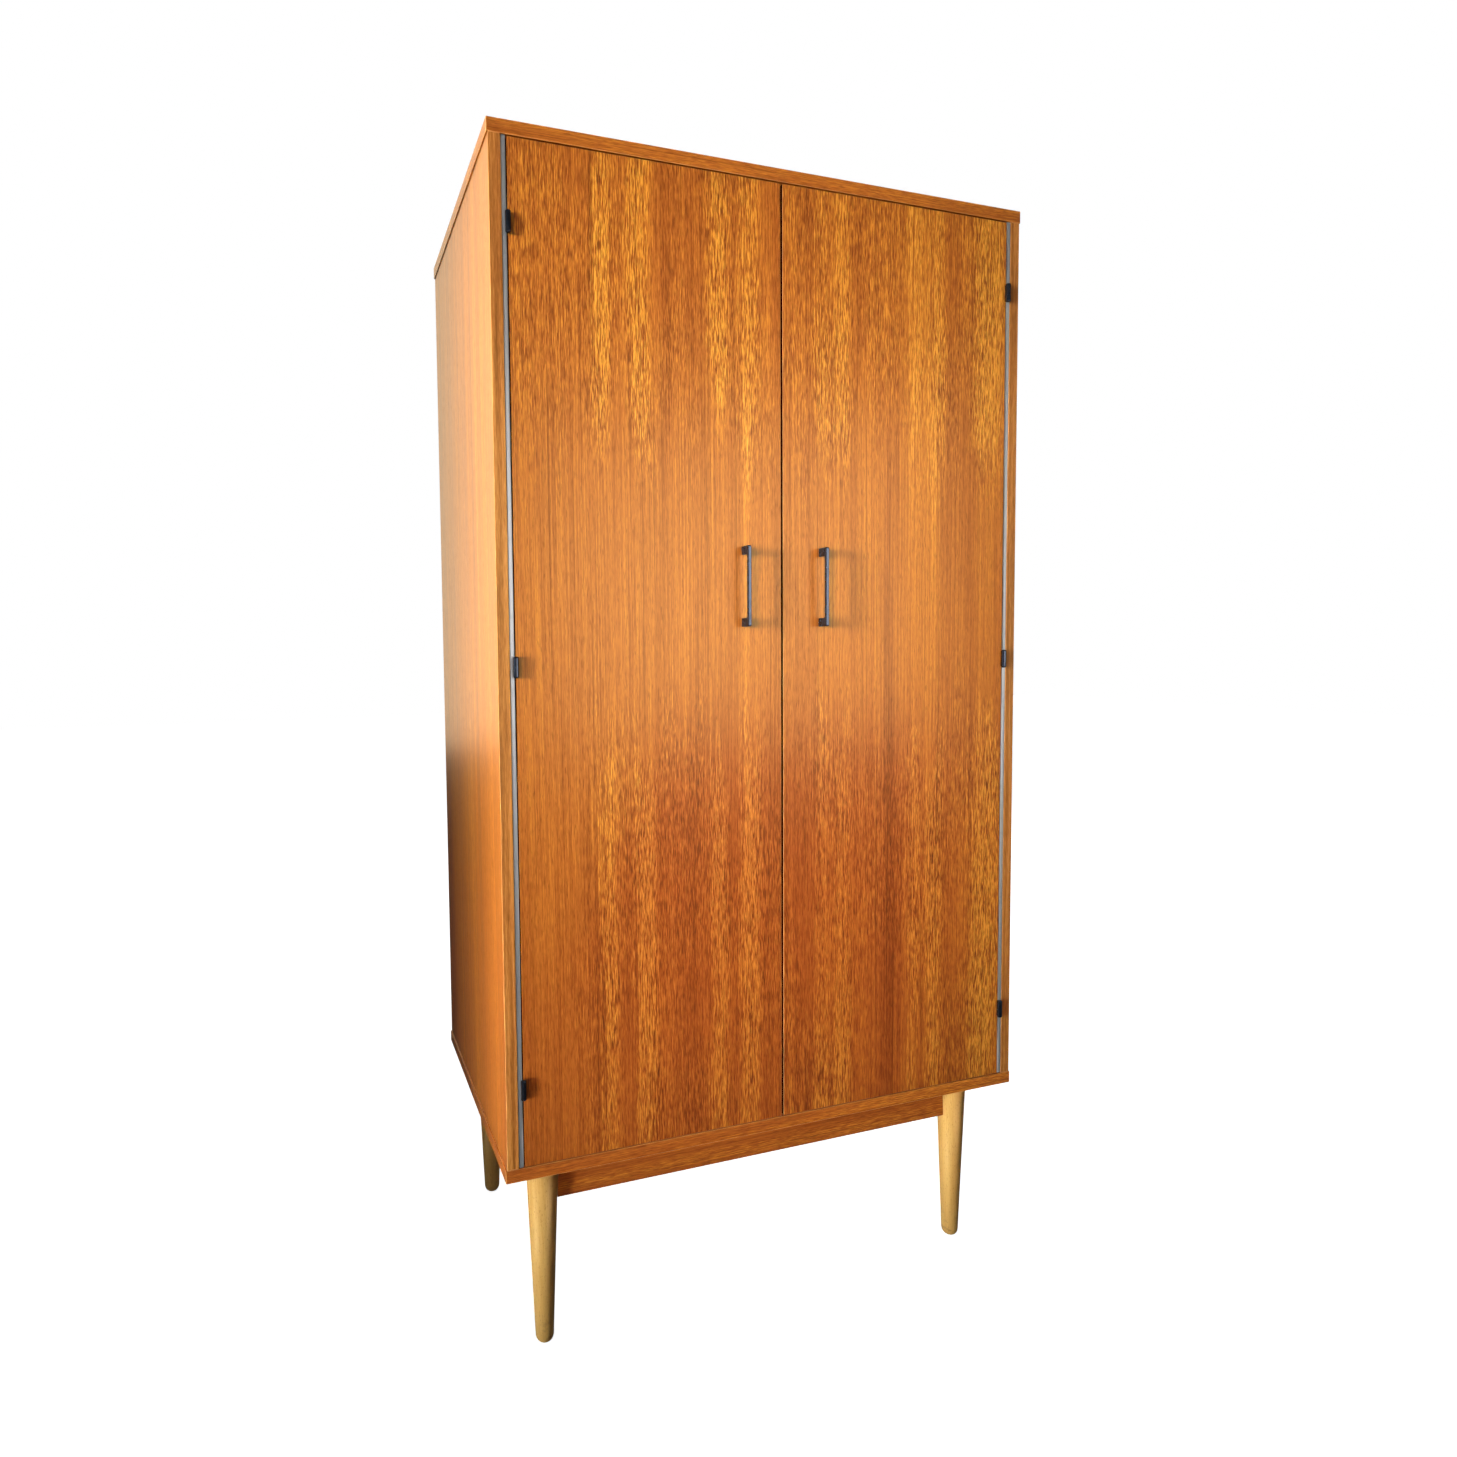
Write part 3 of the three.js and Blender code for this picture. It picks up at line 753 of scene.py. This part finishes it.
def plate(bm, outline, holes, thickness, place):
    """A flat plate with an outline of (u, v) points and round holes, each (u, v, radius).
    place turns a local (u, v, w) into a point."""
    last = 360 - 360 / HOLE_SEGMENTS
    loops = [outline] + [arc((u, v), radius, 0, last, HOLE_SEGMENTS - 1) for u, v, radius in holes]
    edges = []
    for loop in loops:
        ring = [bm.verts.new((u, v, 0.0)) for u, v in loop]
        edges += [bm.edges.new((ring[i], ring[(i + 1) % len(ring)])) for i in range(len(ring))]
    filled = bmesh.ops.triangle_fill(bm, use_beauty=True, use_dissolve=False, edges=edges)["geom"]
    faces = [f for f in filled if isinstance(f, bmesh.types.BMFace)]
    pushed = bmesh.ops.extrude_face_region(bm, geom=faces)["geom"]
    moved = [v for v in pushed if isinstance(v, bmesh.types.BMVert)]
    bmesh.ops.translate(bm, verts=moved, vec=(0.0, 0.0, thickness))
    base = {v for f in faces if f.is_valid for v in f.verts}
    for vert in base.union(moved):
        vert.co = place(*vert.co)


def slotted_screw(bm, matrix, radius, rise, slot_width, slot_depth, shank_radius, shank_length):
    """A screw with its head seated at z = 0. rise is how far the head stands proud.
    It is 0 for a countersunk one."""
    rim = rise * 0.4
    outline = [(0.0, -shank_length), (shank_radius, -shank_length)]
    if rise > 0:
        outline += [(shank_radius, 0.0), (radius, 0.0), (radius, rim)]
    else:
        outline += [(shank_radius, -slot_depth * 1.8), (radius, 0.0)]
    head = bmesh.new()
    revolve(head, outline + [(0.0, rim)], 32)

    def on_top():
        return [f for f in head.faces if all(abs(v.co.z - rim) < 1e-7 for v in f.verts)]

    bmesh.ops.dissolve_faces(head, faces=on_top())
    half = slot_width / 2
    for level in (-half, half):
        top = on_top()
        parts = top + list({e for f in top for e in f.edges}) + list({v for f in top for v in f.verts})
        bmesh.ops.bisect_plane(head, geom=parts, plane_co=(0.0, level, rim), plane_no=(0.0, 1.0, 0.0))
    strip = [f for f in on_top() if abs(f.calc_center_median().y) < half * 0.9]
    lands = [f for f in on_top() if f not in strip]
    for face in strip + lands:
        face.smooth = False
    if rise > 0:
        sloped = bmesh.ops.inset_region(head, faces=lands, thickness=radius * 0.28, depth=rise - rim)
        for face in sloped["faces"]:
            face.smooth = True
    pushed = bmesh.ops.extrude_face_region(head, geom=strip)["geom"]
    moved = [v for v in pushed if isinstance(v, bmesh.types.BMVert)]
    bmesh.ops.translate(head, verts=moved, vec=(0.0, 0.0, -slot_depth))
    bmesh.ops.delete(head, geom=[f for f in strip if f.is_valid], context="FACES")
    bmesh.ops.transform(head, matrix=matrix, verts=head.verts)
    scratch = bpy.data.meshes.new("scratch")
    head.to_mesh(scratch)
    head.free()
    bm.from_mesh(scratch)
    bpy.data.meshes.remove(scratch)


# ---------------------------------------------------------------- legs

LEG_SEGMENTS = 96
FOOT_ROUND_HEIGHT = 12 * MM
FOOT_FLAT_RADIUS = 6 * MM
FOOT_RADIUS = 14.6 * MM


def add_leg(node, material):
    low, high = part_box(node)
    middle = (low + high) / 2
    top_radius = (high.x - low.x) / 2
    steps = 14
    profile = [(0.0, low.z)]
    for step in range(steps + 1):
        angle = math.pi / 2 * step / steps
        radius = FOOT_FLAT_RADIUS + (FOOT_RADIUS - FOOT_FLAT_RADIUS) * math.sin(angle)
        profile.append((radius, low.z + FOOT_ROUND_HEIGHT * (1 - math.cos(angle))))
    profile += [(top_radius, high.z), (0.0, high.z)]
    bm = bmesh.new()
    revolve(bm, profile, LEG_SEGMENTS, Matrix.Translation((middle.x, middle.y, 0.0)))
    replace_node(node, bm, material, "_turned")


# ---------------------------------------------------------------- hinges

HINGE_Y = -257.6 * MM
HINGE_X = 429.25 * MM
LEAF_OFFSET = 0.75 * MM          # from the pin's axis to a leaf's near face
LEAF_THICKNESS = 1.2 * MM
LEAF_CLEAR = 4.4 * MM            # how far a leaf is cut back behind the other leaf's knuckle
FRAME_LEAF_REACH = 21.6 * MM     # from the pin's axis to a leaf's rear edge
DOOR_LEAF_REACH = 19.6 * MM
BARREL_RADIUS = 4.1 * MM
BORE_RADIUS = 2.0 * MM
PIN_RADIUS = 1.92 * MM
KNUCKLE_HALF = 4.35 * MM
KNUCKLE_GAP = 0.15 * MM
BARREL_HALF = 13.3 * MM
KNUCKLE_CHAMFER = 0.15 * MM
LEAF_CORNER = 1.6 * MM
LEAF_SCREW_LEVEL = 6.5 * MM
LEAF_HOLE_RADIUS = 2.95 * MM
LEAF_SCREW_BACK = {"frame": 14.1 * MM, "door": 13.1 * MM}
LEAF_SCREW_SUNK = 0.1 * MM
LEAF_SCREW = {
    "radius": 2.75 * MM,
    "rise": 0.0,
    "slot_width": 0.8 * MM,
    "slot_depth": 0.6 * MM,
    "shank_radius": 1.4 * MM,
    "shank_length": 13 * MM,
}
PIN_SHOULDER = BARREL_HALF + 0.1 * MM
PIN_DOME_HEIGHT = 2.2 * MM


def add_knuckle(bm, place, low, high):
    c = KNUCKLE_CHAMFER
    profile = [
        (BORE_RADIUS, low), (BARREL_RADIUS - c, low), (BARREL_RADIUS, low + c),
        (BARREL_RADIUS, high - c), (BARREL_RADIUS - c, high), (BORE_RADIUS, high),
    ]
    revolve(bm, profile, 40, Matrix.Translation(place))


def leaf_outline(kind):
    """A leaf's outline about the pin: u runs back from the axis, v up. The frame's leaf keeps its ends."""
    reach = FRAME_LEAF_REACH if kind == "frame" else DOOR_LEAF_REACH
    end = BARREL_HALF
    back = reach - LEAF_CORNER
    rear = arc((back, LEAF_CORNER - end), LEAF_CORNER, -90, 0, 5)
    rear += arc((back, end - LEAF_CORNER), LEAF_CORNER, 0, 90, 5)
    if kind == "frame":
        notch = KNUCKLE_HALF + KNUCKLE_GAP
        upper = [(0.0, end), (0.0, notch), (LEAF_CLEAR, notch)]
    else:
        upper = [(LEAF_CLEAR, end), (LEAF_CLEAR, KNUCKLE_HALF), (0.0, KNUCKLE_HALF)]
    lower = [(u, -v) for u, v in reversed(upper)]
    return rear + upper + lower


def add_leaf(node, kind, axis, direction, material):
    """direction is the way from the pin to the leaf: towards the side panel or towards the door."""
    bm = bmesh.new()
    back = LEAF_SCREW_BACK[kind]
    holes = [(back, level, LEAF_HOLE_RADIUS) for level in (-LEAF_SCREW_LEVEL, LEAF_SCREW_LEVEL)]

    def place(u, v, w):
        return Vector((axis.x + direction * (LEAF_OFFSET + w), axis.y + u, axis.z + v))

    plate(bm, leaf_outline(kind), holes, LEAF_THICKNESS, place)
    if kind == "frame":
        inner = KNUCKLE_HALF + KNUCKLE_GAP
        add_knuckle(bm, axis, inner, BARREL_HALF)
        add_knuckle(bm, axis, -BARREL_HALF, -inner)
    else:
        add_knuckle(bm, axis, -KNUCKLE_HALF, KNUCKLE_HALF)
    even_shading(replace_node(node, bm, material))


def add_leaf_screws(node, kind, axis, direction, material, turns):
    bm = bmesh.new()
    for level in (-LEAF_SCREW_LEVEL, LEAF_SCREW_LEVEL):
        place = axis + Vector((direction * (LEAF_OFFSET + LEAF_SCREW_SUNK), LEAF_SCREW_BACK[kind], level))
        matrix = facing(place, (-direction, 0.0, 0.0), turns.uniform(0.0, math.pi))
        slotted_screw(bm, matrix, **LEAF_SCREW)
    add_extra(node, bm, material)


def add_hinge_pin(node, axis, material):
    """A pin whose two ends are closed over into low domes."""
    dome = arc((0.0, 0.0), 1.0, 0, 90, 8)
    upper = [(BARREL_RADIUS * r, PIN_SHOULDER + PIN_DOME_HEIGHT * h) for r, h in dome]
    upper[-1] = (0.0, upper[-1][1])
    lower = [(r, -h) for r, h in reversed(upper)]
    bm = bmesh.new()
    profile = lower + [(PIN_RADIUS, -PIN_SHOULDER), (PIN_RADIUS, PIN_SHOULDER)] + upper
    revolve(bm, profile, 40, Matrix.Translation(axis))
    replace_node(node, bm, material)


def add_hinges(material, screw_material):
    turns = random.Random(11)
    for side, sign in (("left", -1), ("right", 1)):
        for level in ("upper", "middle", "lower"):
            prefix = side + "_" + level
            low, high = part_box(prefix + "_hinge_pin")
            axis = Vector((sign * HINGE_X, HINGE_Y, (low.z + high.z) / 2))
            add_hinge_pin(prefix + "_hinge_pin", axis, material)
            for kind, direction in (("frame", sign), ("door", -sign)):
                node = prefix + "_" + kind + "_leaf"
                add_leaf(node, kind, axis, direction, material)
                add_leaf_screws(node, kind, axis, direction, screw_material, turns)


# ---------------------------------------------------------------- handles

HANDLE_FOOT_HEIGHT = 13.5 * MM
HANDLE_BAR = 5.5 * MM
HANDLE_FILLET = 4.0 * MM
HANDLE_CORNER = 2.4 * MM
HANDLE_EDGE = 1.1 * MM
HANDLE_SCREW = {
    "radius": 4.0 * MM,
    "rise": 2.2 * MM,
    "slot_width": 1.0 * MM,
    "slot_depth": 1.2 * MM,
    "shank_radius": 2.0 * MM,
}


def add_handle(node, material):
    """A bridge handle: its side view given its width, with every long edge eased."""
    low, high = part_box(node)
    middle = (low.z + high.z) / 2
    half = (high.z - low.z) / 2
    out = high.y - low.y
    inside = half - HANDLE_FOOT_HEIGHT
    under = out - HANDLE_BAR
    outline = [(0.0, -half), (0.0, -inside)]
    outline += arc((under - HANDLE_FILLET, HANDLE_FILLET - inside), HANDLE_FILLET, -90, 0, 10)
    outline += arc((under - HANDLE_FILLET, inside - HANDLE_FILLET), HANDLE_FILLET, 0, 90, 10)
    outline += [(0.0, inside), (0.0, half)]
    outline += arc((out - HANDLE_CORNER, half - HANDLE_CORNER), HANDLE_CORNER, 90, 0, 8)
    outline += arc((out - HANDLE_CORNER, HANDLE_CORNER - half), HANDLE_CORNER, 0, -90, 8)
    bm = bmesh.new()
    width = high.x - low.x
    ring = [bm.verts.new((low.x, high.y - u, middle + v)) for u, v in outline]
    face = bm.faces.new(ring)
    pushed = bmesh.ops.extrude_face_region(bm, geom=[face])["geom"]
    moved = [v for v in pushed if isinstance(v, bmesh.types.BMVert)]
    bmesh.ops.translate(bm, verts=moved, vec=(width, 0.0, 0.0))
    bmesh.ops.recalc_face_normals(bm, faces=bm.faces)
    soften(bm, HANDLE_EDGE, 4)
    for face in bm.faces:
        face.smooth = True
    even_shading(replace_node(node, bm, material))


def add_handle_screw(node, material, turn):
    low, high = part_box(node)
    middle = (low + high) / 2
    seat = high.y - HANDLE_SCREW["rise"]
    matrix = facing((middle.x, seat, middle.z), (0.0, 1.0, 0.0), turn)
    bm = bmesh.new()
    slotted_screw(bm, matrix, **HANDLE_SCREW, shank_length=seat - low.y)
    replace_node(node, bm, material)


# ---------------------------------------------------------------- small fittings

PLATE_CORNER = 2.0 * MM
PLATE_HOLE_RADIUS = 2.3 * MM
PLATE_SCREW_SUNK = 0.1 * MM
PLATE_SCREW = {
    "radius": 2.15 * MM,
    "rise": 0.0,
    "slot_width": 0.7 * MM,
    "slot_depth": 0.5 * MM,
    "shank_radius": 1.1 * MM,
    "shank_length": 10 * MM,
}
POLE_LEVELS = (0.28, 0.62)       # shares of the catch's height
POLE_HALF_WIDTH = 11 * MM
POLE_HALF_THICKNESS = 0.8 * MM
POLE_PROUD = 0.12 * MM
POLE_DEPTH = 5 * MM
SOCKET_FLANGE_RADIUS = 24 * MM
SOCKET_CUP_RADIUS = 14.5 * MM
SOCKET_BORE_RADIUS = 11.3 * MM
SOCKET_FLANGE = 3 * MM
SOCKET_SCREW_CIRCLE = 19.3 * MM
SOCKET_SCREW = {
    "radius": 3.0 * MM,
    "rise": 1.4 * MM,
    "slot_width": 0.8 * MM,
    "slot_depth": 0.9 * MM,
    "shank_radius": 1.5 * MM,
    "shank_length": 14 * MM,
}
STRIP_CORNER = 3.0 * MM
STRIP_SCREWS = 7
STRIP_SCREW_INSET = 45 * MM
STRIP_SCREW = {
    "radius": 2.6 * MM,
    "rise": 0.6 * MM,
    "slot_width": 0.7 * MM,
    "slot_depth": 0.5 * MM,
    "shank_radius": 1.3 * MM,
    "shank_length": 6 * MM,
}
BACK_PIN_INSET = 5 * MM
BACK_PINS_ACROSS = 9
BACK_PINS_UP = 13
BACK_PIN_PROFILE = (
    (0.0, -4 * MM),
    (0.7 * MM, -4 * MM),
    (0.7 * MM, 0.0),
    (1.7 * MM, 0.0),
    (1.4 * MM, 0.35 * MM),
    (0.8 * MM, 0.5 * MM),
    (0.0, 0.55 * MM),
)


def spaced(low, high, count):
    """Evenly spaced values from low to high, both included."""
    return [low + (high - low) * step / (count - 1) for step in range(count)]


def add_strike_plate(node, material, screw_material):
    low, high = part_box(node)
    middle = (low + high) / 2
    half_width = (high.x - low.x) / 2
    half_height = (high.z - low.z) / 2
    outline = []
    for u, v, first in ((1, -1, -90), (1, 1, 0), (-1, 1, 90), (-1, -1, 180)):
        center = (u * (half_width - PLATE_CORNER), v * (half_height - PLATE_CORNER))
        outline += arc(center, PLATE_CORNER, first, first + 90, 5)
    spread = half_width * 0.62
    holes = [(u, 0.0, PLATE_HOLE_RADIUS) for u in (-spread, spread)]

    def place(u, v, w):
        return Vector((middle.x + u, low.y + w, middle.z + v))

    bm = bmesh.new()
    plate(bm, outline, holes, high.y - low.y, place)
    replace_node(node, bm, material)
    screws = bmesh.new()
    for u in (-spread, spread):
        seat = (middle.x + u, high.y - PLATE_SCREW_SUNK, middle.z)
        slotted_screw(screws, facing(seat, (0.0, 1.0, 0.0), 0.5 + 20 * u), **PLATE_SCREW)
    add_extra(node, screws, screw_material)


def add_catch_poles(node, material):
    """The two steel poles that show at the face of a magnetic catch."""
    low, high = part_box(node)
    middle = (low.x + high.x) / 2
    bm = bmesh.new()
    for level in POLE_LEVELS:
        height = low.z + (high.z - low.z) * level
        add_box(
            bm,
            (middle - POLE_HALF_WIDTH, low.y - POLE_PROUD, height - POLE_HALF_THICKNESS),
            (middle + POLE_HALF_WIDTH, low.y + POLE_DEPTH, height + POLE_HALF_THICKNESS),
        )
    soften(bm, 0.15 * MM, 2)
    add_extra(node, bm, material, "_poles")


def add_socket(node, sign, material, screw_material):
    """The cup that carries one end of the hanging rail, with three screws through its flange."""
    low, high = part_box(node)
    wall = high.x if sign > 0 else low.x
    axis = Vector((wall, (low.y + high.y) / 2, (low.z + high.z) / 2))
    flange, cup, bore = SOCKET_FLANGE_RADIUS, SOCKET_CUP_RADIUS, SOCKET_BORE_RADIUS
    thick = SOCKET_FLANGE
    depth = high.x - low.x
    profile = [(0.0, 0.0), (flange, 0.0)]
    profile += arc((flange - 1.2 * MM, thick - 1.2 * MM), 1.2 * MM, 0, 90, 5)
    profile += arc((cup + 1.5 * MM, thick + 1.5 * MM), 1.5 * MM, 270, 180, 5)
    profile += arc((cup - 0.8 * MM, depth - 0.8 * MM), 0.8 * MM, 0, 90, 4)
    profile += [(bore + 0.4 * MM, depth), (bore, depth - 0.4 * MM), (bore, thick), (0.0, thick)]
    turn = facing(axis, (-sign, 0.0, 0.0))
    bm = bmesh.new()
    revolve(bm, profile, 64, turn)
    replace_node(node, bm, material)
    screws = bmesh.new()
    for step in range(3):
        angle = math.radians(90 + 120 * step)
        across = SOCKET_SCREW_CIRCLE * math.cos(angle)
        up = SOCKET_SCREW_CIRCLE * math.sin(angle)
        matrix = turn @ Matrix.Translation((across, up, thick)) @ Matrix.Rotation(0.7 + 1.9 * step, 4, "Z")
        slotted_screw(screws, matrix, **SOCKET_SCREW)
    add_extra(node, screws, screw_material)


def add_rail(node, material):
    low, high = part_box(node)
    middle = (low + high) / 2
    radius = (high.z - low.z) / 2
    length = high.x - low.x
    bm = bmesh.new()
    profile = [(0.0, 0.0), (radius, 0.0), (radius, length), (0.0, length)]
    revolve(bm, profile, 64, facing((low.x, middle.y, middle.z), (1.0, 0.0, 0.0)))
    replace_node(node, bm, material)


def add_trim_strip(node, sign, material):
    """The metal strip beside a door, with its front corner on the door's side well rounded."""
    low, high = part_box(node)
    corner_x = low.x if sign > 0 else high.x
    near = 0.05 * MM

    def door_corner(edge):
        return all(abs(v.co.x - corner_x) < near and abs(v.co.y - low.y) < near for v in edge.verts)

    bm = clean_copy(node)
    soften(bm, STRIP_CORNER, 6, door_corner)
    soften(bm, 0.25 * MM, 2)
    even_shading(replace_node(node, bm, material, "_dressed"))


def add_strip_screws(side, sign, material):
    """Small screws along the inside face of a trim strip, between the hinges."""
    node = side + "_trim_strip"
    low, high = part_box(node)
    face_x = low.x if sign > 0 else high.x
    bm = bmesh.new()
    turns = random.Random(17 + sign)
    for height in spaced(low.z + STRIP_SCREW_INSET, high.z - STRIP_SCREW_INSET, STRIP_SCREWS):
        place = (face_x, (low.y + high.y) / 2, height)
        matrix = facing(place, (-sign, 0.0, 0.0), turns.uniform(0, math.pi))
        slotted_screw(bm, matrix, **STRIP_SCREW)
    add_extra(node, bm, material)


def add_back_pins(material):
    """The panel pins round the edge of the back."""
    low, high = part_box("back_panel")
    left, right = low.x + BACK_PIN_INSET, high.x - BACK_PIN_INSET
    bottom, top = low.z + BACK_PIN_INSET, high.z - BACK_PIN_INSET
    spots = [(x, z) for x in spaced(left, right, BACK_PINS_ACROSS) for z in (bottom, top)]
    spots += [(x, z) for z in spaced(bottom, top, BACK_PINS_UP)[1:-1] for x in (left, right)]
    bm = bmesh.new()
    for x, z in spots:
        revolve(bm, BACK_PIN_PROFILE, 16, facing((x, high.y, z), (0.0, 1.0, 0.0)))
    add_extra("back_panel", bm, material, "_pins")


# ---------------------------------------------------------------- main


add_camera()
add_lights()
add_world()
add_floor()

# The doors' edge wood is painted near black as shade in the gaps.
teak_doors = {
    side: teak(
        "teak_" + side + "_door", "Z", seed,
        lipping="X", lipping_stops=PAINTED_SHADE_LIPPING_STOPS, ribbons=DOOR_RIBBONS[side],
    )
    for side, seed in (("left", 1.0), ("right", 2.0))
}
teak_sides = {
    side: teak("teak_" + side + "_side", "Z", seed, figure=0.6, tone=0.04, lipping="Y")
    for side, seed in (("left", 3.0), ("right", 4.0))
}
teak_across = teak("teak_across", "X", 5.0, figure=0.8, tone=-0.02)
teak_depth = teak("teak_depth", "Y", 6.0, figure=0.8, tone=-0.02)
beech_upright = beech("beech_upright", "Z", 1.0)
beech_depth = beech("beech_depth", "Y", 2.0)
ply = plywood("back_ply")
aluminium = metal(
    "strip_metal", (170, 176, 192), 0.36, "Z", metallic=0.65, tarnish=0.15, dark=(110, 108, 106)
)
hinge_metal = metal("hinge_metal", (66, 74, 92), 0.22, metallic=0.9, tarnish=0.4, dark=(26, 24, 28))
handle_metal = metal("handle_metal", (64, 72, 90), 0.28, "Z", metallic=0.8, tarnish=0.25)
zinc = metal("zinc_metal", (190, 192, 196), 0.30, tarnish=0.2, dark=(110, 106, 98))
chrome = metal("rail_metal", (208, 210, 214), 0.20, "X", tarnish=0.1, dark=(120, 118, 112))
cream = plastic("catch_plastic", (226, 220, 206))

for side, sign in (("left", -1), ("right", 1)):
    dress(side + "_door_panel", teak_doors[side], 1.4 * MM, 1)
    dress(side + "_side_panel", teak_sides[side], 0.8 * MM, 3)
    dress(side + "_apron_rail", teak_depth, 0.8 * MM)
    add_trim_strip(side + "_trim_strip", sign, aluminium)
    dress(side + "_shelf_batten", beech_depth, 0.8 * MM)
    dress(side + "_catch", cream, 0.6 * MM, 3)
    add_catch_poles(side + "_catch", zinc)
    add_strike_plate(side + "_strike_plate", zinc, zinc)
    add_handle(side + "_handle", handle_metal)
    add_handle_screw(side + "_handle_upper_screw", zinc, 0.4)
    add_handle_screw(side + "_handle_lower_screw", zinc, 1.3)
    add_socket(side + "_rail_socket", sign, chrome, zinc)
    add_strip_screws(side, sign, zinc)
    add_leg("front_" + side + "_leg", beech_upright)
    add_leg("rear_" + side + "_leg", beech_upright)
for node in ("top_panel", "bottom_panel", "hat_shelf"):
    dress(node, teak_across, 0.8 * MM, 3)
for node in ("front_apron_rail", "rear_apron_rail"):
    dress(node, teak_across, 0.8 * MM)
dress("back_panel", ply, 0.3 * MM)
add_back_pins(zinc)
add_rail("hanging_rail", chrome)
add_hinges(hinge_metal, zinc)

bpy.context.scene.view_settings.view_transform = "Standard"
